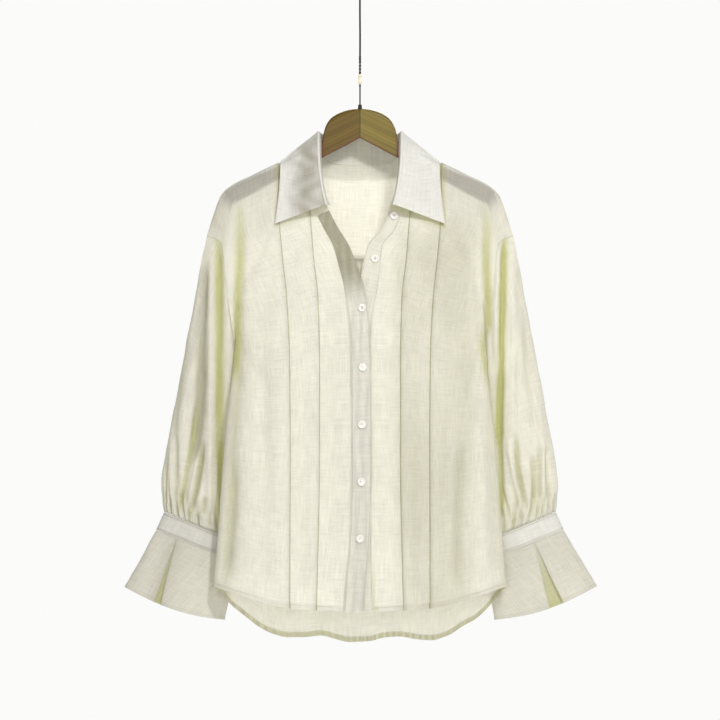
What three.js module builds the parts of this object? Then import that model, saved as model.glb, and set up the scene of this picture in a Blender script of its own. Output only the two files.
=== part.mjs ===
// A women's linen blouse hanging from a wooden hanger. Millimetres, +Z up, the front faces -Y.
// The origin is where the hanger's hook is held. A side is -1 for the wearer's right and +1 for
// the wearer's left. In the tables x is measured from the middle towards that side.
import * as THREE from "three";

// driving dimensions
const CLOTH = 1.0; // wall of one layer
const DOUBLE = 1.3; // wall of a doubled layer, as in the collar and cuffs
const SEAM = 0.3; // gap between sewn pieces
const LAYER = 1.6; // pitch of the layers in a fold
const TUCK_DEPTH = 8;
const BACK_PLEAT = 15; // half the width of the back's box pleat
const BAND_WIDTH = 31; // button band
const HANGER_ROLL = 9; // half the depth of the cloth over the hanger's arm
const ROLL_FALL = 2.5; // how far below the seam the cloth has nearly its depth over the arm
const NECK_X = 60;
const BACK_DEPTH = 46;
const BACK_NECK_Z = -283;
const BACK_NECK_Y = 38;
const YOKE_Z = -423;
const YOKE_END = 0.079; // how far down the outer edge the yoke ends
const UNDERARM = 0.326; // how far down the outer edge the armhole ends
const OVERLAP_LIFT = 3.2; // the right front's edge lies over the left front's band
const GATHERS = 22; // waves round each sleeve at the cuff
const COLLAR_CLEAR = 4; // collar above the front, over the tucks
const COLLAR_LIFT = 3.4; // collar above the cloth near the shoulder seam
const NECK_GAP = 1.1; // collar stand above the neck seam
const STAND_INSET = 1.7; // collar stand inside the front's edge
const STAND_END = 0.134; // how far down the front's edge the collar ends
const ARMHOLE_X = 203; // body's half width at the yoke's end
const SHOULDER_X = 229.5; // half width at the dropped shoulder
const HEM_X = 219.5; // half width at the hem
const NECK_EDGE_X = 58; // hanger's dome ends here, at the neck
const CUFF_COLUMNS = 40;
const EYE_RADIUS = 9; // hook's closed eye
const WIRE_RADIUS = 1.4;
const BUTTON_RADIUS = 6.3;
const LINEN = { color: 0xeeeee0, roughness: 0.85, metalness: 0 };
const PEARL = { color: 0xf2f1ea, roughness: 0.3, metalness: 0 };
const WOOD = { color: 0x967f48, roughness: 0.55, metalness: 0 };
const STEEL = { color: 0x2b2a29, roughness: 0.35, metalness: 0.9 };

// shoulder seam, from the neck to the dropped shoulder
const SHOULDER = [
  { x: 60, z: -249.8 }, { x: 84, z: -261.8 }, { x: 118.5, z: -279.8 }, { x: 160, z: -298.5 },
  { x: 193.5, z: -315 }, { x: 209.3, z: -330 }, { x: 214.5, z: -343.5 }, { x: 221.3, z: -363.5 },
  { x: 229.5, z: -388.5 },
];
// outer edge of the body: armhole, then side seam; v is how far down, y the armhole's depth
const OUTER = [
  { v: 0, x: 229.5, y: 0.2 }, { v: 0.005, x: 221, y: 4 }, { v: 0.0125, x: 213, y: 8 },
  { v: 0.026, x: 207, y: 12 }, { v: 0.05, x: 204.5, y: 16 }, { v: YOKE_END, x: 203, y: 18 },
  { v: 0.145, x: 200, y: 19 }, { v: 0.21, x: 196, y: 17 }, { v: 0.28, x: 191, y: 10 },
  { v: UNDERARM, x: 188, y: 0.2 }, { v: 0.4, x: 191.5, y: 0.2 }, { v: 0.52, x: 199, y: 0.2 },
  { v: 0.64, x: 205, y: 0.2 }, { v: 0.76, x: 209.5, y: 0.2 }, { v: 0.87, x: 213.5, y: 0.2 },
  { v: 1, x: 219.5, y: 0.2 },
];
const SIDE_TOP_Z = -388.5;
const SIDE_HEM_Z = -916;
// inner edge of each front: neck, V and centre; over laps on top, under lies below
const INNER = [
  { z: -249.8, over: 60, under: 60 }, { z: -268, over: 60, under: 60 },
  { z: -300, over: 58, under: 58 }, { z: -330, over: 53.5, under: 53 },
  { z: -344, over: 49.5, under: 46.5 }, { z: -378, over: 33, under: 33 },
  { z: -405, over: 16.5, under: 11 }, { z: -436, over: 4.5, under: 4 },
  { z: -466, over: -6, under: -2 }, { z: -516, over: -13.5, under: -12 },
  { z: -560, over: -16.5, under: -13.5 }, { z: -714, over: -18, under: -13.5 },
  { z: -792, over: -17, under: -13.5 }, { z: -858, over: -14, under: -13 },
  { z: -906, over: -9, under: -12 }, { z: -955, over: -6, under: -10 },
];
// folded edges of the tucks, and the deep fold beside the armhole
const LINES = [
  { z: -260, outer: 122, inner: 84, fold: 190 }, { z: -355, outer: 121, inner: 74.5, fold: 181 },
  { z: -423, outer: 115.5, inner: 69, fold: 180 }, { z: -482, outer: 109, inner: 62.5, fold: 183 },
  { z: -576, outer: 104.5, inner: 60, fold: 184 }, { z: -726, outer: 103.5, inner: 60, fold: 191 },
  { z: -868, outer: 104, inner: 62.5, fold: 202 }, { z: -955, outer: 104, inner: 65, fold: 209 },
];
// depth of the front's middle, and of the fold beside the armhole
const FRONT = [
  { z: -240, depth: 18, fold: 0 }, { z: -330, depth: 32, fold: 0 }, { z: -360, depth: 36, fold: 5 },
  { z: -420, depth: 42, fold: 12 }, { z: -500, depth: 48, fold: 13 }, { z: -560, depth: 50, fold: 7 },
  { z: -640, depth: 52, fold: 3 }, { z: -800, depth: 54, fold: 2 }, { z: -960, depth: 58, fold: 1 },
];
const FRONT_HEM = [
  { x: 0, z: -953 }, { x: 60, z: -949.5 }, { x: 105, z: -946.5 }, { x: 135, z: -941 },
  { x: 160, z: -934 }, { x: 190, z: -925 }, { x: 219.5, z: SIDE_HEM_Z },
];
// the back's hem, wavy; wearer's right and left
const BACK_HEM = [
  { x: 0, right: -1001, left: -1001 }, { x: 15, right: -1001.5, left: -1000 },
  { x: 35, right: -997.5, left: -995 }, { x: 60, right: -991.5, left: -993 },
  { x: 85, right: -994, left: -997 }, { x: 108, right: -994, left: -998.5 },
  { x: 133, right: -988, left: -991 }, { x: 155, right: -976, left: -977 },
  { x: 175, right: -960, left: -965 }, { x: 195, right: -943, left: -945 },
  { x: 207, right: -927, left: -928 }, { x: 219.5, right: SIDE_HEM_Z, left: SIDE_HEM_Z },
];
// neck seam across the back, from the middle to the shoulder seam
const BACK_NECK = [
  { x: 0, y: BACK_NECK_Y, z: BACK_NECK_Z }, { x: 25, y: 36.5, z: -282.3 }, { x: 44, y: 32, z: -280 },
  { x: 54, y: 22, z: -272.5 }, { x: 58.3, y: 13, z: -262 }, { x: 59.7, y: 7.4, z: -254.2 },
  { x: NECK_X, y: 0.2, z: -249.8 },
];
// collar from the middle of the back, a = 0, over the shoulder, a = 0.5, to its front end
const COLLAR = [
  { a: 0, rollX: 0, rollY: 43, rollZ: -247, edgeX: 0, edgeZ: -304 },
  { a: 0.2, rollX: 30, rollY: 41, rollZ: -245, edgeX: 36, edgeZ: -303 },
  { a: 0.34, rollX: 51, rollY: 32, rollZ: -240, edgeX: 72, edgeZ: -297 },
  { a: 0.42, rollX: 59.5, rollY: 18, rollZ: -236, edgeX: 103, edgeZ: -290 },
  { a: 0.46, rollX: 60.5, rollY: 10, rollZ: -235, edgeX: 112, edgeZ: -283.5 },
  { a: 0.48, rollX: 61, rollY: 5, rollZ: -235, edgeX: 115.5, edgeZ: -279.4 },
  { a: 0.5, rollX: 61, rollY: 0, rollZ: -235, edgeX: 118, edgeZ: -277 },
  { a: 0.52, rollX: 61, rollY: -5, rollZ: -236, edgeX: 119, edgeZ: -280 },
  { a: 0.55, rollX: 61, rollY: -10, rollZ: -239, edgeX: 119.5, edgeZ: -287 },
  { a: 0.62, rollX: 61, rollY: -20, rollZ: -249, edgeX: 120, edgeZ: -304 },
  { a: 0.75, rollX: 60, rollY: -30, rollZ: -278, edgeX: 122, edgeZ: -330 },
  { a: 0.88, rollX: 56, rollY: -36, rollZ: -313, edgeX: 125, edgeZ: -354 },
  { a: 1, rollX: 49, rollY: -40, rollZ: -344, edgeX: 127.5, edgeZ: -372 },
];
// sleeve rings: outer and inner end, middle depth y, half depth, how far the ring has left the
// armhole's form, broad folds and gathers
const SLEEVE = table("t outX outZ inX inZ y half free fold gather", [
  [0, 229.5, -389, 189, -560.6, 0, 19, 0, 0, 0],
  [0.05, 232.6, -404, 190.2, -566, 2.5, 22, 0.3, 0.5, 0],
  [0.13, 238.5, -432, 192.5, -575, 5, 23.5, 0.6, 1, 0],
  [0.24, 246.5, -478, 194.5, -590, 9, 24.5, 0.85, 2, 0],
  [0.36, 256, -532, 194.5, -608, 14, 25, 1, 3, 0],
  [0.49, 267.5, -590, 192, -640, 26, 24, 1, 3, 0],
  [0.62, 279.5, -650, 187, -686, 36, 24, 1, 3, 0.4],
  [0.75, 291, -708, 182, -738, 40, 24.5, 1, 2.5, 1],
  [0.86, 298, -757, 178.5, -788, 42, 24, 1, 1.5, 2],
  [0.95, 297, -788, 176.5, -830, 42, 20, 1, 0, 2.4],
  [1, 294.5, -804.5, 176, -852, 42, 17, 1, 0, 1.2],
]);
const COARSE_RINGS = 7; // rings before the columns double for the gathers
// cuff rings: outer and inner end and half depth
const CUFF = {
  bandTop: { outX: 294.6, outZ: -805.6, inX: 175.8, inZ: -853.2, half: 17 },
  bandEnd: { outX: 306.6, outZ: -832, inX: 187.6, inZ: -879.5, half: 17.5 },
  flareTop: { outX: 307, outZ: -832.8, inX: 188, inZ: -880.3, half: 17.8 },
  middle: { outX: 331, outZ: -874, inX: 195, inZ: -924, half: 25 },
  hem: { outX: 356, outZ: -917, inX: 204, inZ: -967, half: 33 },
};
const CUFF_Y = 42;
const CUFF_PLEATS = [0.2, 0.72]; // where round the flare its inverted pleats lie
const PLEAT_SINK = 9;
const PLEAT_CLEAR = 0.045; // part of the flare's ring that a pleat takes
const FLARE_SAG = 9; // the flare's hem bows down between its ends
// buttons: side -1 lies on the upper band, +1 on the lower one
const BUTTONS = [
  { x: 3, z: -498.7, side: -1 }, { x: 4.2, z: -586.5, side: -1 }, { x: 3, z: -672, side: -1 },
  { x: 2.2, z: -757.5, side: -1 }, { x: 0.4, z: -842.3, side: -1 }, { x: 51, z: -360, side: 1 },
  { x: 22.5, z: -424.5, side: 1 },
];
const BUTTON_PROFILE = [
  { r: 0, y: 0 }, { r: 5.4, y: 0 }, { r: BUTTON_RADIUS, y: 0.9 }, { r: BUTTON_RADIUS, y: 1.9 },
  { r: 5.3, y: 2.6 }, { r: 4, y: 1.8 }, { r: 0, y: 1.6 },
];
// the hanger's right-hand arm, upper edge from the middle to the tip, then the lower edge back
const ARM_TOP = [
  { x: 0.15, z: -198.8 }, { x: 14, z: -200.4 }, { x: 28.5, z: -205.5 }, { x: 40, z: -213 },
  { x: 47.5, z: -223.5 }, { x: 52.5, z: -238 }, { x: 56, z: -250 }, { x: 58, z: -253 },
];
const ARM_LOW = [
  { x: 0.15, z: -243 }, { x: 58.5, z: -273.5 }, { x: 129, z: -309.5 }, { x: 186, z: -340 },
  { x: 197, z: -344.5 }, { x: 204, z: -341 },
];
// half the section of an arm: share of the way down, extra drop, share of the thickness
const ARM_SECTION = [
  { across: 0, down: 0, low: 0 }, { across: 0.6, down: 1.4, low: 0 },
  { across: 1, down: 6, low: 0 }, { across: 1, down: -1.5, low: 1 },
  { across: 0.8, down: 0, low: 1 }, { across: -0.8, down: 0, low: 1 },
  { across: -1, down: -1.5, low: 1 }, { across: -1, down: 6, low: 0 },
  { across: -0.6, down: 1.4, low: 0 },
];
// the wire from the ferrule up: a rod, the thicker join where it is twisted, and the long wire
const HOOK = [
  { x: 0, z: -192.2, radius: 1.1 }, { x: 0, z: -166, radius: 1.1 }, { x: 0, z: -163, radius: 1.9 },
  { x: 0, z: -124, radius: 1.9 }, { x: 0, z: -121, radius: WIRE_RADIUS },
  { x: 0, z: -60, radius: WIRE_RADIUS },
];
const ARM_GAP = 1.8; // arm's upper edge below the shoulder seam
const ARM_THICK = 13;

// rows of numbers as rows with named columns
function table(names, rows) {
  const keys = names.split(" ");
  return rows.map((row) => Object.fromEntries(row.map((value, i) => [keys[i], value])));
}

// smooth value of a table's column where its key has the given value, with no overshoot
function look(rows, key, column, value) {
  const last = rows.length - 1;
  const sign = Math.sign(rows[last][key] - rows[0][key]);
  const step = (i) => rows[i + 1][key] - rows[i][key];
  const slope = (i) => (rows[i + 1][column] - rows[i][column]) / step(i);
  const tangent = (i) => {
    if (i === 0) return slope(0);
    if (i === last) return slope(last - 1);
    const before = slope(i - 1);
    const after = slope(i);
    if (before * after <= 0) return 0;
    const heavy = 2 * step(i) + step(i - 1);
    const light = step(i) + 2 * step(i - 1);
    return (heavy + light) / (heavy / before + light / after);
  };
  let i = 0;
  while (i < last - 1 && (value - rows[i + 1][key]) * sign > 0) i += 1;
  const width = step(i);
  const t = THREE.MathUtils.clamp((value - rows[i][key]) / width, 0, 1);
  const rise = rows[i + 1][column] - rows[i][column];
  const a = tangent(i) * width;
  const b = tangent(i + 1) * width;
  return rows[i][column] + t * (a + t * (3 * rise - 2 * a - b + t * (a + b - 2 * rise)));
}

function mix(a, b, t) {
  return a + (b - a) * t;
}

function ease(t) {
  const c = THREE.MathUtils.clamp(t, 0, 1);
  return c * c * (3 - 2 * c);
}

// 1 in the middle of a fold, 0 from one width away
function bell(distance, width) {
  return 1 - ease(Math.abs(distance) / width);
}

// closed solid from vertex positions and triangles, turned so that its faces point out
function solid(points, triangles) {
  const volume = triangles.reduce((sum, [a, b, c]) => {
    const cross = new THREE.Vector3().crossVectors(points[b], points[c]);
    return sum + points[a].dot(cross);
  }, 0);
  const indices = triangles.flatMap(([a, b, c]) => (volume > 0 ? [a, b, c] : [a, c, b]));
  const geometry = new THREE.BufferGeometry();
  geometry.setAttribute(
    "position",
    new THREE.Float32BufferAttribute(points.flatMap((p) => p.toArray()), 3),
  );
  geometry.setIndex(indices);
  geometry.computeVertexNormals();
  return geometry;
}

// outward directions of a grid of points, along its rows and down its columns
function gridNormals(grid, closed) {
  const bend = (before, here, after) => {
    const sum = new THREE.Vector3();
    if (before) sum.add(here.clone().sub(before).normalize());
    if (after) sum.add(after.clone().sub(here).normalize());
    return sum;
  };
  return grid.map((row, i) => row.map((here, j) => {
    const n = row.length;
    const before = closed ? row[(j + n - 1) % n] : row[j - 1];
    const after = closed ? row[(j + 1) % n] : row[j + 1];
    const above = grid[i - 1] && grid[i - 1].length === n ? grid[i - 1][j] : undefined;
    const below = grid[i + 1] && grid[i + 1].length === n ? grid[i + 1][j] : undefined;
    return bend(before, here, after).cross(bend(above, here, below)).normalize();
  }));
}

// keep an edge's end face square to a direction, so that two sewn edges lie parallel
function square(normals, direction) {
  for (const normal of normals) {
    normal.addScaledVector(direction, -normal.dot(direction)).normalize();
  }
}

// wall of the given thickness through a grid of points; closed joins its last column to the first
function wall(grid, normals, thickness, closed = false) {
  const points = [];
  const faces = [];
  const starts = [];
  for (const [i, row] of grid.entries()) {
    starts.push(points.length);
    for (const side of [0.5, -0.5]) {
      for (const [j, point] of row.entries()) {
        points.push(point.clone().addScaledVector(normals[i][j], side * thickness));
      }
    }
  }
  const vertex = (i, j, inner) => {
    const n = grid[i].length;
    return starts[i] + (inner ? n : 0) + (j % n);
  };
  const quad = (a, b, c, d) => {
    const shortA = points[a].distanceTo(points[c]) <= points[b].distanceTo(points[d]);
    faces.push(...(shortA ? [[a, b, c], [a, c, d]] : [[a, b, d], [b, c, d]]));
  };
  for (let i = 0; i < grid.length - 1; i += 1) {
    const n = grid[i].length;
    const doubling = grid[i + 1].length / n;
    const cells = closed ? n : n - 1;
    for (let j = 0; j < cells; j += 1) {
      for (const inner of [false, true]) {
        const a = vertex(i, j, inner);
        const b = vertex(i, j + 1, inner);
        const c = vertex(i + 1, (j + 1) * doubling, inner);
        const d = vertex(i + 1, j * doubling, inner);
        const before = faces.length;
        if (doubling === 2) {
          const middle = vertex(i + 1, j * 2 + 1, inner);
          faces.push([a, b, middle], [b, c, middle], [a, middle, d]);
        } else {
          quad(a, b, c, d);
        }
        if (inner) faces.slice(before).forEach((face) => face.reverse());
      }
    }
    if (!closed) {
      quad(vertex(i, 0, true), vertex(i, 0, false), vertex(i + 1, 0, false), vertex(i + 1, 0, true));
      const e = n - 1;
      quad(vertex(i, e, false), vertex(i, e, true), vertex(i + 1, e, true), vertex(i + 1, e, false));
    }
  }
  for (const [i, turned] of [[0, false], [grid.length - 1, true]]) {
    const n = grid[i].length;
    for (let j = 0; j < (closed ? n : n - 1); j += 1) {
      const inner = [vertex(i, j, true), vertex(i, j + 1, true)];
      const ring = [...inner, vertex(i, j + 1, false), vertex(i, j, false)];
      quad(...(turned ? ring.reverse() : ring));
    }
  }
  return solid(points, faces);
}

const shoulderZ = (x) => look(SHOULDER, "x", "z", Math.max(x, NECK_X));
const outerX = (v) => look(OUTER, "v", "x", v);
const outerY = (v) => look(OUTER, "v", "y", v);
const sideZ = (v) => mix(SIDE_TOP_Z, SIDE_HEM_Z, v);

// depth of the cloth where it rolls over the hanger's arm, at a distance below the shoulder seam
function rollDepth(below) {
  return HANGER_ROLL * (1 - Math.exp(-Math.max(below, 0) / ROLL_FALL));
}

// distance of the front's cloth before the middle plane, without tucks
function frontDepth(x, z, v) {
  const reach = Math.abs(x);
  const edge = outerY(v);
  const below = shoulderZ(reach) - z;
  const full = rollDepth(below) + (look(FRONT, "z", "depth", z) - HANGER_ROLL) * ease(below / 300);
  const across = Math.min(reach / outerX(v), 1);
  const round = Math.sqrt(Math.max(1 - across ** 2.6, 0));
  const fold = look(FRONT, "z", "fold", z) * bell(reach - look(LINES, "z", "fold", z), 13);
  return edge + (full - edge) * round - fold * round;
}

// depth of the back below the yoke's seam, behind the middle plane
function backDepth(x, z, v) {
  const edge = outerY(v);
  const across = Math.min(Math.abs(x) / outerX(v), 1);
  const full = BACK_DEPTH + 5 * ease((YOKE_Z - z) / 500);
  return edge + (full - edge) * Math.sqrt(Math.max(1 - across ** 2.6, 0));
}

function yokeTop(x) {
  if (x >= NECK_X) return { y: 0.2, z: shoulderZ(x) };
  return { y: look(BACK_NECK, "x", "y", x), z: look(BACK_NECK, "x", "z", x) };
}

// the yoke's seam drops a little to the armhole
function yokeSeamZ(x) {
  return mix(YOKE_Z, sideZ(YOKE_END), ease(x / ARMHOLE_X));
}

function yokeDepth(x, z) {
  const reach = Math.abs(x);
  const top = yokeTop(reach);
  const low = yokeSeamZ(Math.min(reach, ARMHOLE_X));
  const down = THREE.MathUtils.clamp((top.z - z) / (top.z - low), 0, 1);
  const v = Math.max((SIDE_TOP_Z - z) / (SIDE_TOP_Z - SIDE_HEM_Z), 0);
  const hang = backDepth(x, low, Math.min(v, YOKE_END));
  const fall = 1 - (1 - down) ** 3;
  if (reach < NECK_X) return mix(top.y, hang, fall);
  return rollDepth(top.z - z) + (hang - HANGER_ROLL) * fall;
}

// point on a surface with depth y = facing * depth(x, z), moved out by lift
function surfacePoint(side, x, z, depth, facing, lift) {
  const d = 0.5;
  const y = depth(x, z);
  const slopeX = (depth(x + d, z) - depth(x - d, z)) / (2 * d);
  const slopeZ = (y - depth(x, z - d)) / d;
  const normal = new THREE.Vector3(-slopeX * side, facing, -slopeZ).normalize();
  return new THREE.Vector3(side * x, facing * y, z).addScaledVector(normal, lift);
}

// a column of a panel: its distance x down the panel, from a line that holds top and hem
function frontColumn(top, hem, x, lift) {
  return { top, hem, x, lift };
}

function shifted(line, offset, lift) {
  return frontColumn(line.top + offset, line.hem + offset, (z, v) => line.x(z, v) + offset, lift);
}

function between(a, b, part, lift) {
  return frontColumn(
    mix(a.top, b.top, part),
    mix(a.hem, b.hem, part),
    (z, v) => mix(a.x(z, v), b.x(z, v), part),
    lift,
  );
}

// a knife fold whose edge points to the middle, layers running outwards
function knifeFold(line, depth, turn = 1) {
  const half = LAYER / 2;
  return [
    shifted(line, turn * (depth - half), 0),
    shifted(line, turn * depth, half),
    shifted(line, turn * (depth - half), LAYER),
    shifted(line, turn * half, LAYER),
    shifted(line, 0, LAYER + half),
    shifted(line, turn * half, 2 * LAYER),
  ];
}

function lineFrom(rows, column) {
  const x = (z) => look(rows, "z", column, z);
  return frontColumn(x(rows[0].z), x(rows[rows.length - 1].z), x, 0);
}

// the right front's edge rises over the left front's band
function overlapLift(side, x, z) {
  if (side > 0) return 0;
  return OVERLAP_LIFT * (1 - ease((x - 18) / 30)) * ease((-385 - z) / 55);
}

// inner side of the button band: its width from the edge, short of the inner tuck
function bandColumn(edge, inner) {
  const x = (z, v) => {
    const width = mix(21, BAND_WIDTH, ease((v - 0.145) / 0.19));
    return Math.min(edge.x(z, v) + width, inner.x(z, v) - 3);
  };
  return frontColumn(inner.top - 3, edge.hem + BAND_WIDTH, x, 0);
}

function frontColumns(side) {
  const edge = lineFrom(INNER, side < 0 ? "over" : "under");
  const inner = lineFrom(LINES, "inner");
  const outer = lineFrom(LINES, "outer");
  const fold = lineFrom(LINES, "fold");
  const seam = frontColumn(SHOULDER_X, HEM_X, (z, v) => outerX(v), 0);
  const band = bandColumn(edge, inner);
  const fullLift = 2 * LAYER;
  return [
    edge,
    between(edge, band, 0.5, 0),
    band,
    ...knifeFold(inner, TUCK_DEPTH),
    shifted(inner, TUCK_DEPTH + 2, fullLift),
    between(inner, outer, 0.6, 0.3),
    ...knifeFold(outer, TUCK_DEPTH),
    shifted(outer, TUCK_DEPTH + 2, fullLift),
    between(outer, fold, 0.35, 1.2),
    between(outer, fold, 0.65, 0),
    shifted(fold, -11, 0),
    shifted(fold, -5, 0),
    fold,
    between(fold, seam, 0.3, 0),
    between(fold, seam, 0.6, 0),
    between(fold, seam, 0.86, 0),
    between(fold, seam, 0.97, 0),
    seam,
  ];
}

const BAND_TOP = 0.145;
const FRONT_ROWS = [
  0, 0.005, 0.0125, 0.026, 0.05, 0.09, BAND_TOP, 0.18, 0.21, 0.245, 0.28, UNDERARM,
  0.4, 0.51, 0.64, 0.77, 0.89, 1,
];

function frontHemZ(x) {
  return look(FRONT_HEM, "x", "z", Math.abs(x));
}

function frontPoint(side, column, v, extra = 0) {
  const z = mix(shoulderZ(column.top), frontHemZ(column.hem), v);
  const x = column.x(z, v);
  const lift = column.lift + extra + overlapLift(side, x, z);
  return surfacePoint(side, x, z, (a, b) => frontDepth(a, b, v), -1, lift);
}

const Y_AXIS = new THREE.Vector3(0, 1, 0);
const Z_AXIS = new THREE.Vector3(0, 0, 1);
const X_AXIS = new THREE.Vector3(1, 0, 0);

// the side edge of a panel: armhole rows stay square to x, side seam rows square to y
function squareSide(grid, normals, rows, last) {
  for (const [i, v] of rows.entries()) {
    const j = last ? grid[i].length - 1 : 0;
    if (v > 0.3 && v < 0.35) continue;
    square([normals[i][j]], v < 0.3 && v > 0.001 ? X_AXIS : Y_AXIS);
  }
}

function front(side) {
  const columns = frontColumns(side);
  const grid = FRONT_ROWS.map((v) => columns.map((column) => frontPoint(side, column, v)));
  const normals = gridNormals(grid, false);
  square(normals[0], Y_AXIS);
  squareSide(grid, normals, FRONT_ROWS, true);
  return wall(grid, normals, CLOTH);
}

// button band on the front's outer face, along its edge from the collar to the hem
function buttonBand(side) {
  const edge = lineFrom(INNER, side < 0 ? "over" : "under");
  const band = bandColumn(edge, lineFrom(LINES, "inner"));
  const columns = [edge, between(edge, band, 0.5, 0), band];
  const rows = FRONT_ROWS.filter((v) => v >= BAND_TOP);
  const lift = CLOTH + SEAM;
  const grid = rows.map((v) => columns.map((column) => frontPoint(side, column, v, lift)));
  return wall(grid, gridNormals(grid, false), CLOTH);
}

function mirroredX(stations) {
  const right = stations.filter((x) => x > 0).map((x) => -x).reverse();
  return [...right, ...stations];
}

const YOKE_ROWS = [0, 0.025, 0.08, 0.2, 0.45, 0.72, 1].map((down) => down * YOKE_END);
const YOKE_COLUMNS = [72, 90, 120, 150, 180, 196, 208, 217, 224, SHOULDER_X];

function backYoke() {
  const stations = mirroredX([...BACK_NECK.map(({ x }) => x), ...YOKE_COLUMNS]);
  const grid = YOKE_ROWS.map((v) => stations.map((station) => {
    const side = Math.sign(station) || 1;
    const reach = Math.abs(station);
    if (reach === SHOULDER_X) return new THREE.Vector3(side * outerX(v), outerY(v), sideZ(v));
    const x = mix(reach, (reach * outerX(v)) / SHOULDER_X, (reach / SHOULDER_X) ** 3);
    const top = yokeTop(reach);
    const down = v / YOKE_END;
    const z = mix(top.z, yokeSeamZ(x), down);
    const fall = 1 - (1 - down) ** 3;
    const hang = backDepth(x, z, v);
    if (reach < NECK_X) return new THREE.Vector3(side * x, mix(top.y, hang, fall), z);
    const roll = (rollDepth(top.z - z) - HANGER_ROLL * fall) * (1 - down);
    return new THREE.Vector3(side * x, roll + hang * fall, z);
  }));
  const normals = gridNormals(grid, false);
  const last = stations.length - 1;
  for (const [j, station] of stations.entries()) {
    if (Math.abs(station) >= NECK_X) square([normals[0][j]], Y_AXIS);
  }
  square(normals[YOKE_ROWS.length - 1], Z_AXIS);
  for (const i of YOKE_ROWS.keys()) {
    if (i > 0) square([normals[i][0], normals[i][last]], X_AXIS);
  }
  return wall(grid, normals, CLOTH);
}

const BACK_ROWS = [YOKE_END, 0.145, 0.21, 0.28, UNDERARM, 0.4, 0.5, 0.62, 0.75, 0.88, 1];

function back() {
  const turn = LAYER / 2;
  const pleat = [
    { x: 1.6, lift: 0 }, { x: 0.6, lift: turn }, { x: 1.6, lift: LAYER },
    { x: BACK_PLEAT - turn, lift: LAYER }, { x: BACK_PLEAT, lift: LAYER + turn },
    { x: BACK_PLEAT - turn, lift: 2 * LAYER },
  ];
  const open = [0.12, 0.25, 0.4, 0.55, 0.7, 0.82, 0.91, 0.97, 1].map((part) => ({ part, lift: 0 }));
  const half = [...pleat].reverse().concat(open);
  const folded = [
    ...[...half].reverse().map((station) => ({ ...station, side: -1 })),
    ...half.map((station) => ({ ...station, side: 1 })),
  ];
  const grid = BACK_ROWS.map((v) => folded.map((station) => {
    const edge = outerX(v);
    const x = station.part === undefined ? station.x : mix(0, edge, station.part);
    const hem = look(BACK_HEM, "x", station.side < 0 ? "right" : "left", (x / edge) * HEM_X);
    const down = (v - YOKE_END) / (1 - YOKE_END);
    if (station.part === 1) {
      const sewn = down === 0 ? SEAM : 0;
      return new THREE.Vector3(station.side * edge, outerY(v), sideZ(v) - sewn);
    }
    const z = mix(yokeSeamZ(Math.min(x, ARMHOLE_X)) - SEAM, hem, down);
    return surfacePoint(station.side, x, z, (a, b) => backDepth(a, b, v), 1, station.lift);
  }));
  const normals = gridNormals(grid, false);
  square(normals[0], Z_AXIS);
  squareSide(grid, normals, BACK_ROWS, false);
  squareSide(grid, normals, BACK_ROWS, true);
  return wall(grid, normals, CLOTH);
}

// the armhole as the panels' edges draw it: half of it before, half behind the middle plane
function armholeHalf(facing) {
  const rows = facing < 0 ? FRONT_ROWS : [...YOKE_ROWS, ...BACK_ROWS.slice(1)];
  return rows
    .filter((v) => v <= UNDERARM)
    .map((v) => new THREE.Vector3(outerX(v), facing * outerY(v), sideZ(v)));
}

function alongPolyline(points, part) {
  const lengths = points.slice(1).map((p, i) => p.distanceTo(points[i]));
  let left = part * lengths.reduce((a, b) => a + b, 0);
  for (const [i, length] of lengths.entries()) {
    if (left <= length || i === lengths.length - 1) {
      return points[i].clone().lerp(points[i + 1], Math.min(left / length, 1));
    }
    left -= length;
  }
  return points[0].clone();
}

// point of a sleeve at t down and k round it: 0 outer, 0.25 front, 0.5 inner, 0.75 behind
function sleevePoint(t, k) {
  const get = (column) => look(SLEEVE, "t", column, t);
  const frontHalf = k <= 0.5;
  const round = frontHalf ? k * 2 : 2 - k * 2;
  const hole = alongPolyline(armholeHalf(frontHalf ? -1 : 1), round);
  const inward = ease(round);
  const outMove = new THREE.Vector3(get("outX") - SHOULDER_X, 0, get("outZ") - SIDE_TOP_Z);
  const inMove = new THREE.Vector3(get("inX") - outerX(UNDERARM), 0, get("inZ") - sideZ(UNDERARM));
  hole.add(outMove.lerp(inMove, inward));
  hole.x += t === 0 ? 0.3 * Math.sin(round * Math.PI) : 0;
  const angle = 2 * Math.PI * k;
  const across = (1 - Math.cos(angle)) / 2;
  const ring = new THREE.Vector3(
    mix(get("outX"), get("inX"), across),
    get("y") - get("half") * Math.sin(angle),
    mix(get("outZ"), get("inZ"), across),
  );
  const broad = 0.6 * get("fold") * Math.sin(7 * angle + 3 * t) * Math.sin(angle);
  const gather = get("gather") * Math.cos(GATHERS * angle);
  const out = new THREE.Vector3(Math.cos(angle), -Math.sin(angle), 0);
  ring.addScaledVector(out, gather + broad);
  return hole.lerp(ring, ease(get("free")));
}

function placed(point, side) {
  return new THREE.Vector3(side * point.x, point.y, point.z);
}

function sleeve(side) {
  const coarse = GATHERS * 2;
  const grid = SLEEVE.map(({ t }, i) => {
    const count = i < COARSE_RINGS ? coarse : coarse * 2;
    return Array.from({ length: count }, (_, j) => placed(sleevePoint(t, j / count), side));
  });
  return wall(grid, gridNormals(grid, true), CLOTH, true);
}

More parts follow.
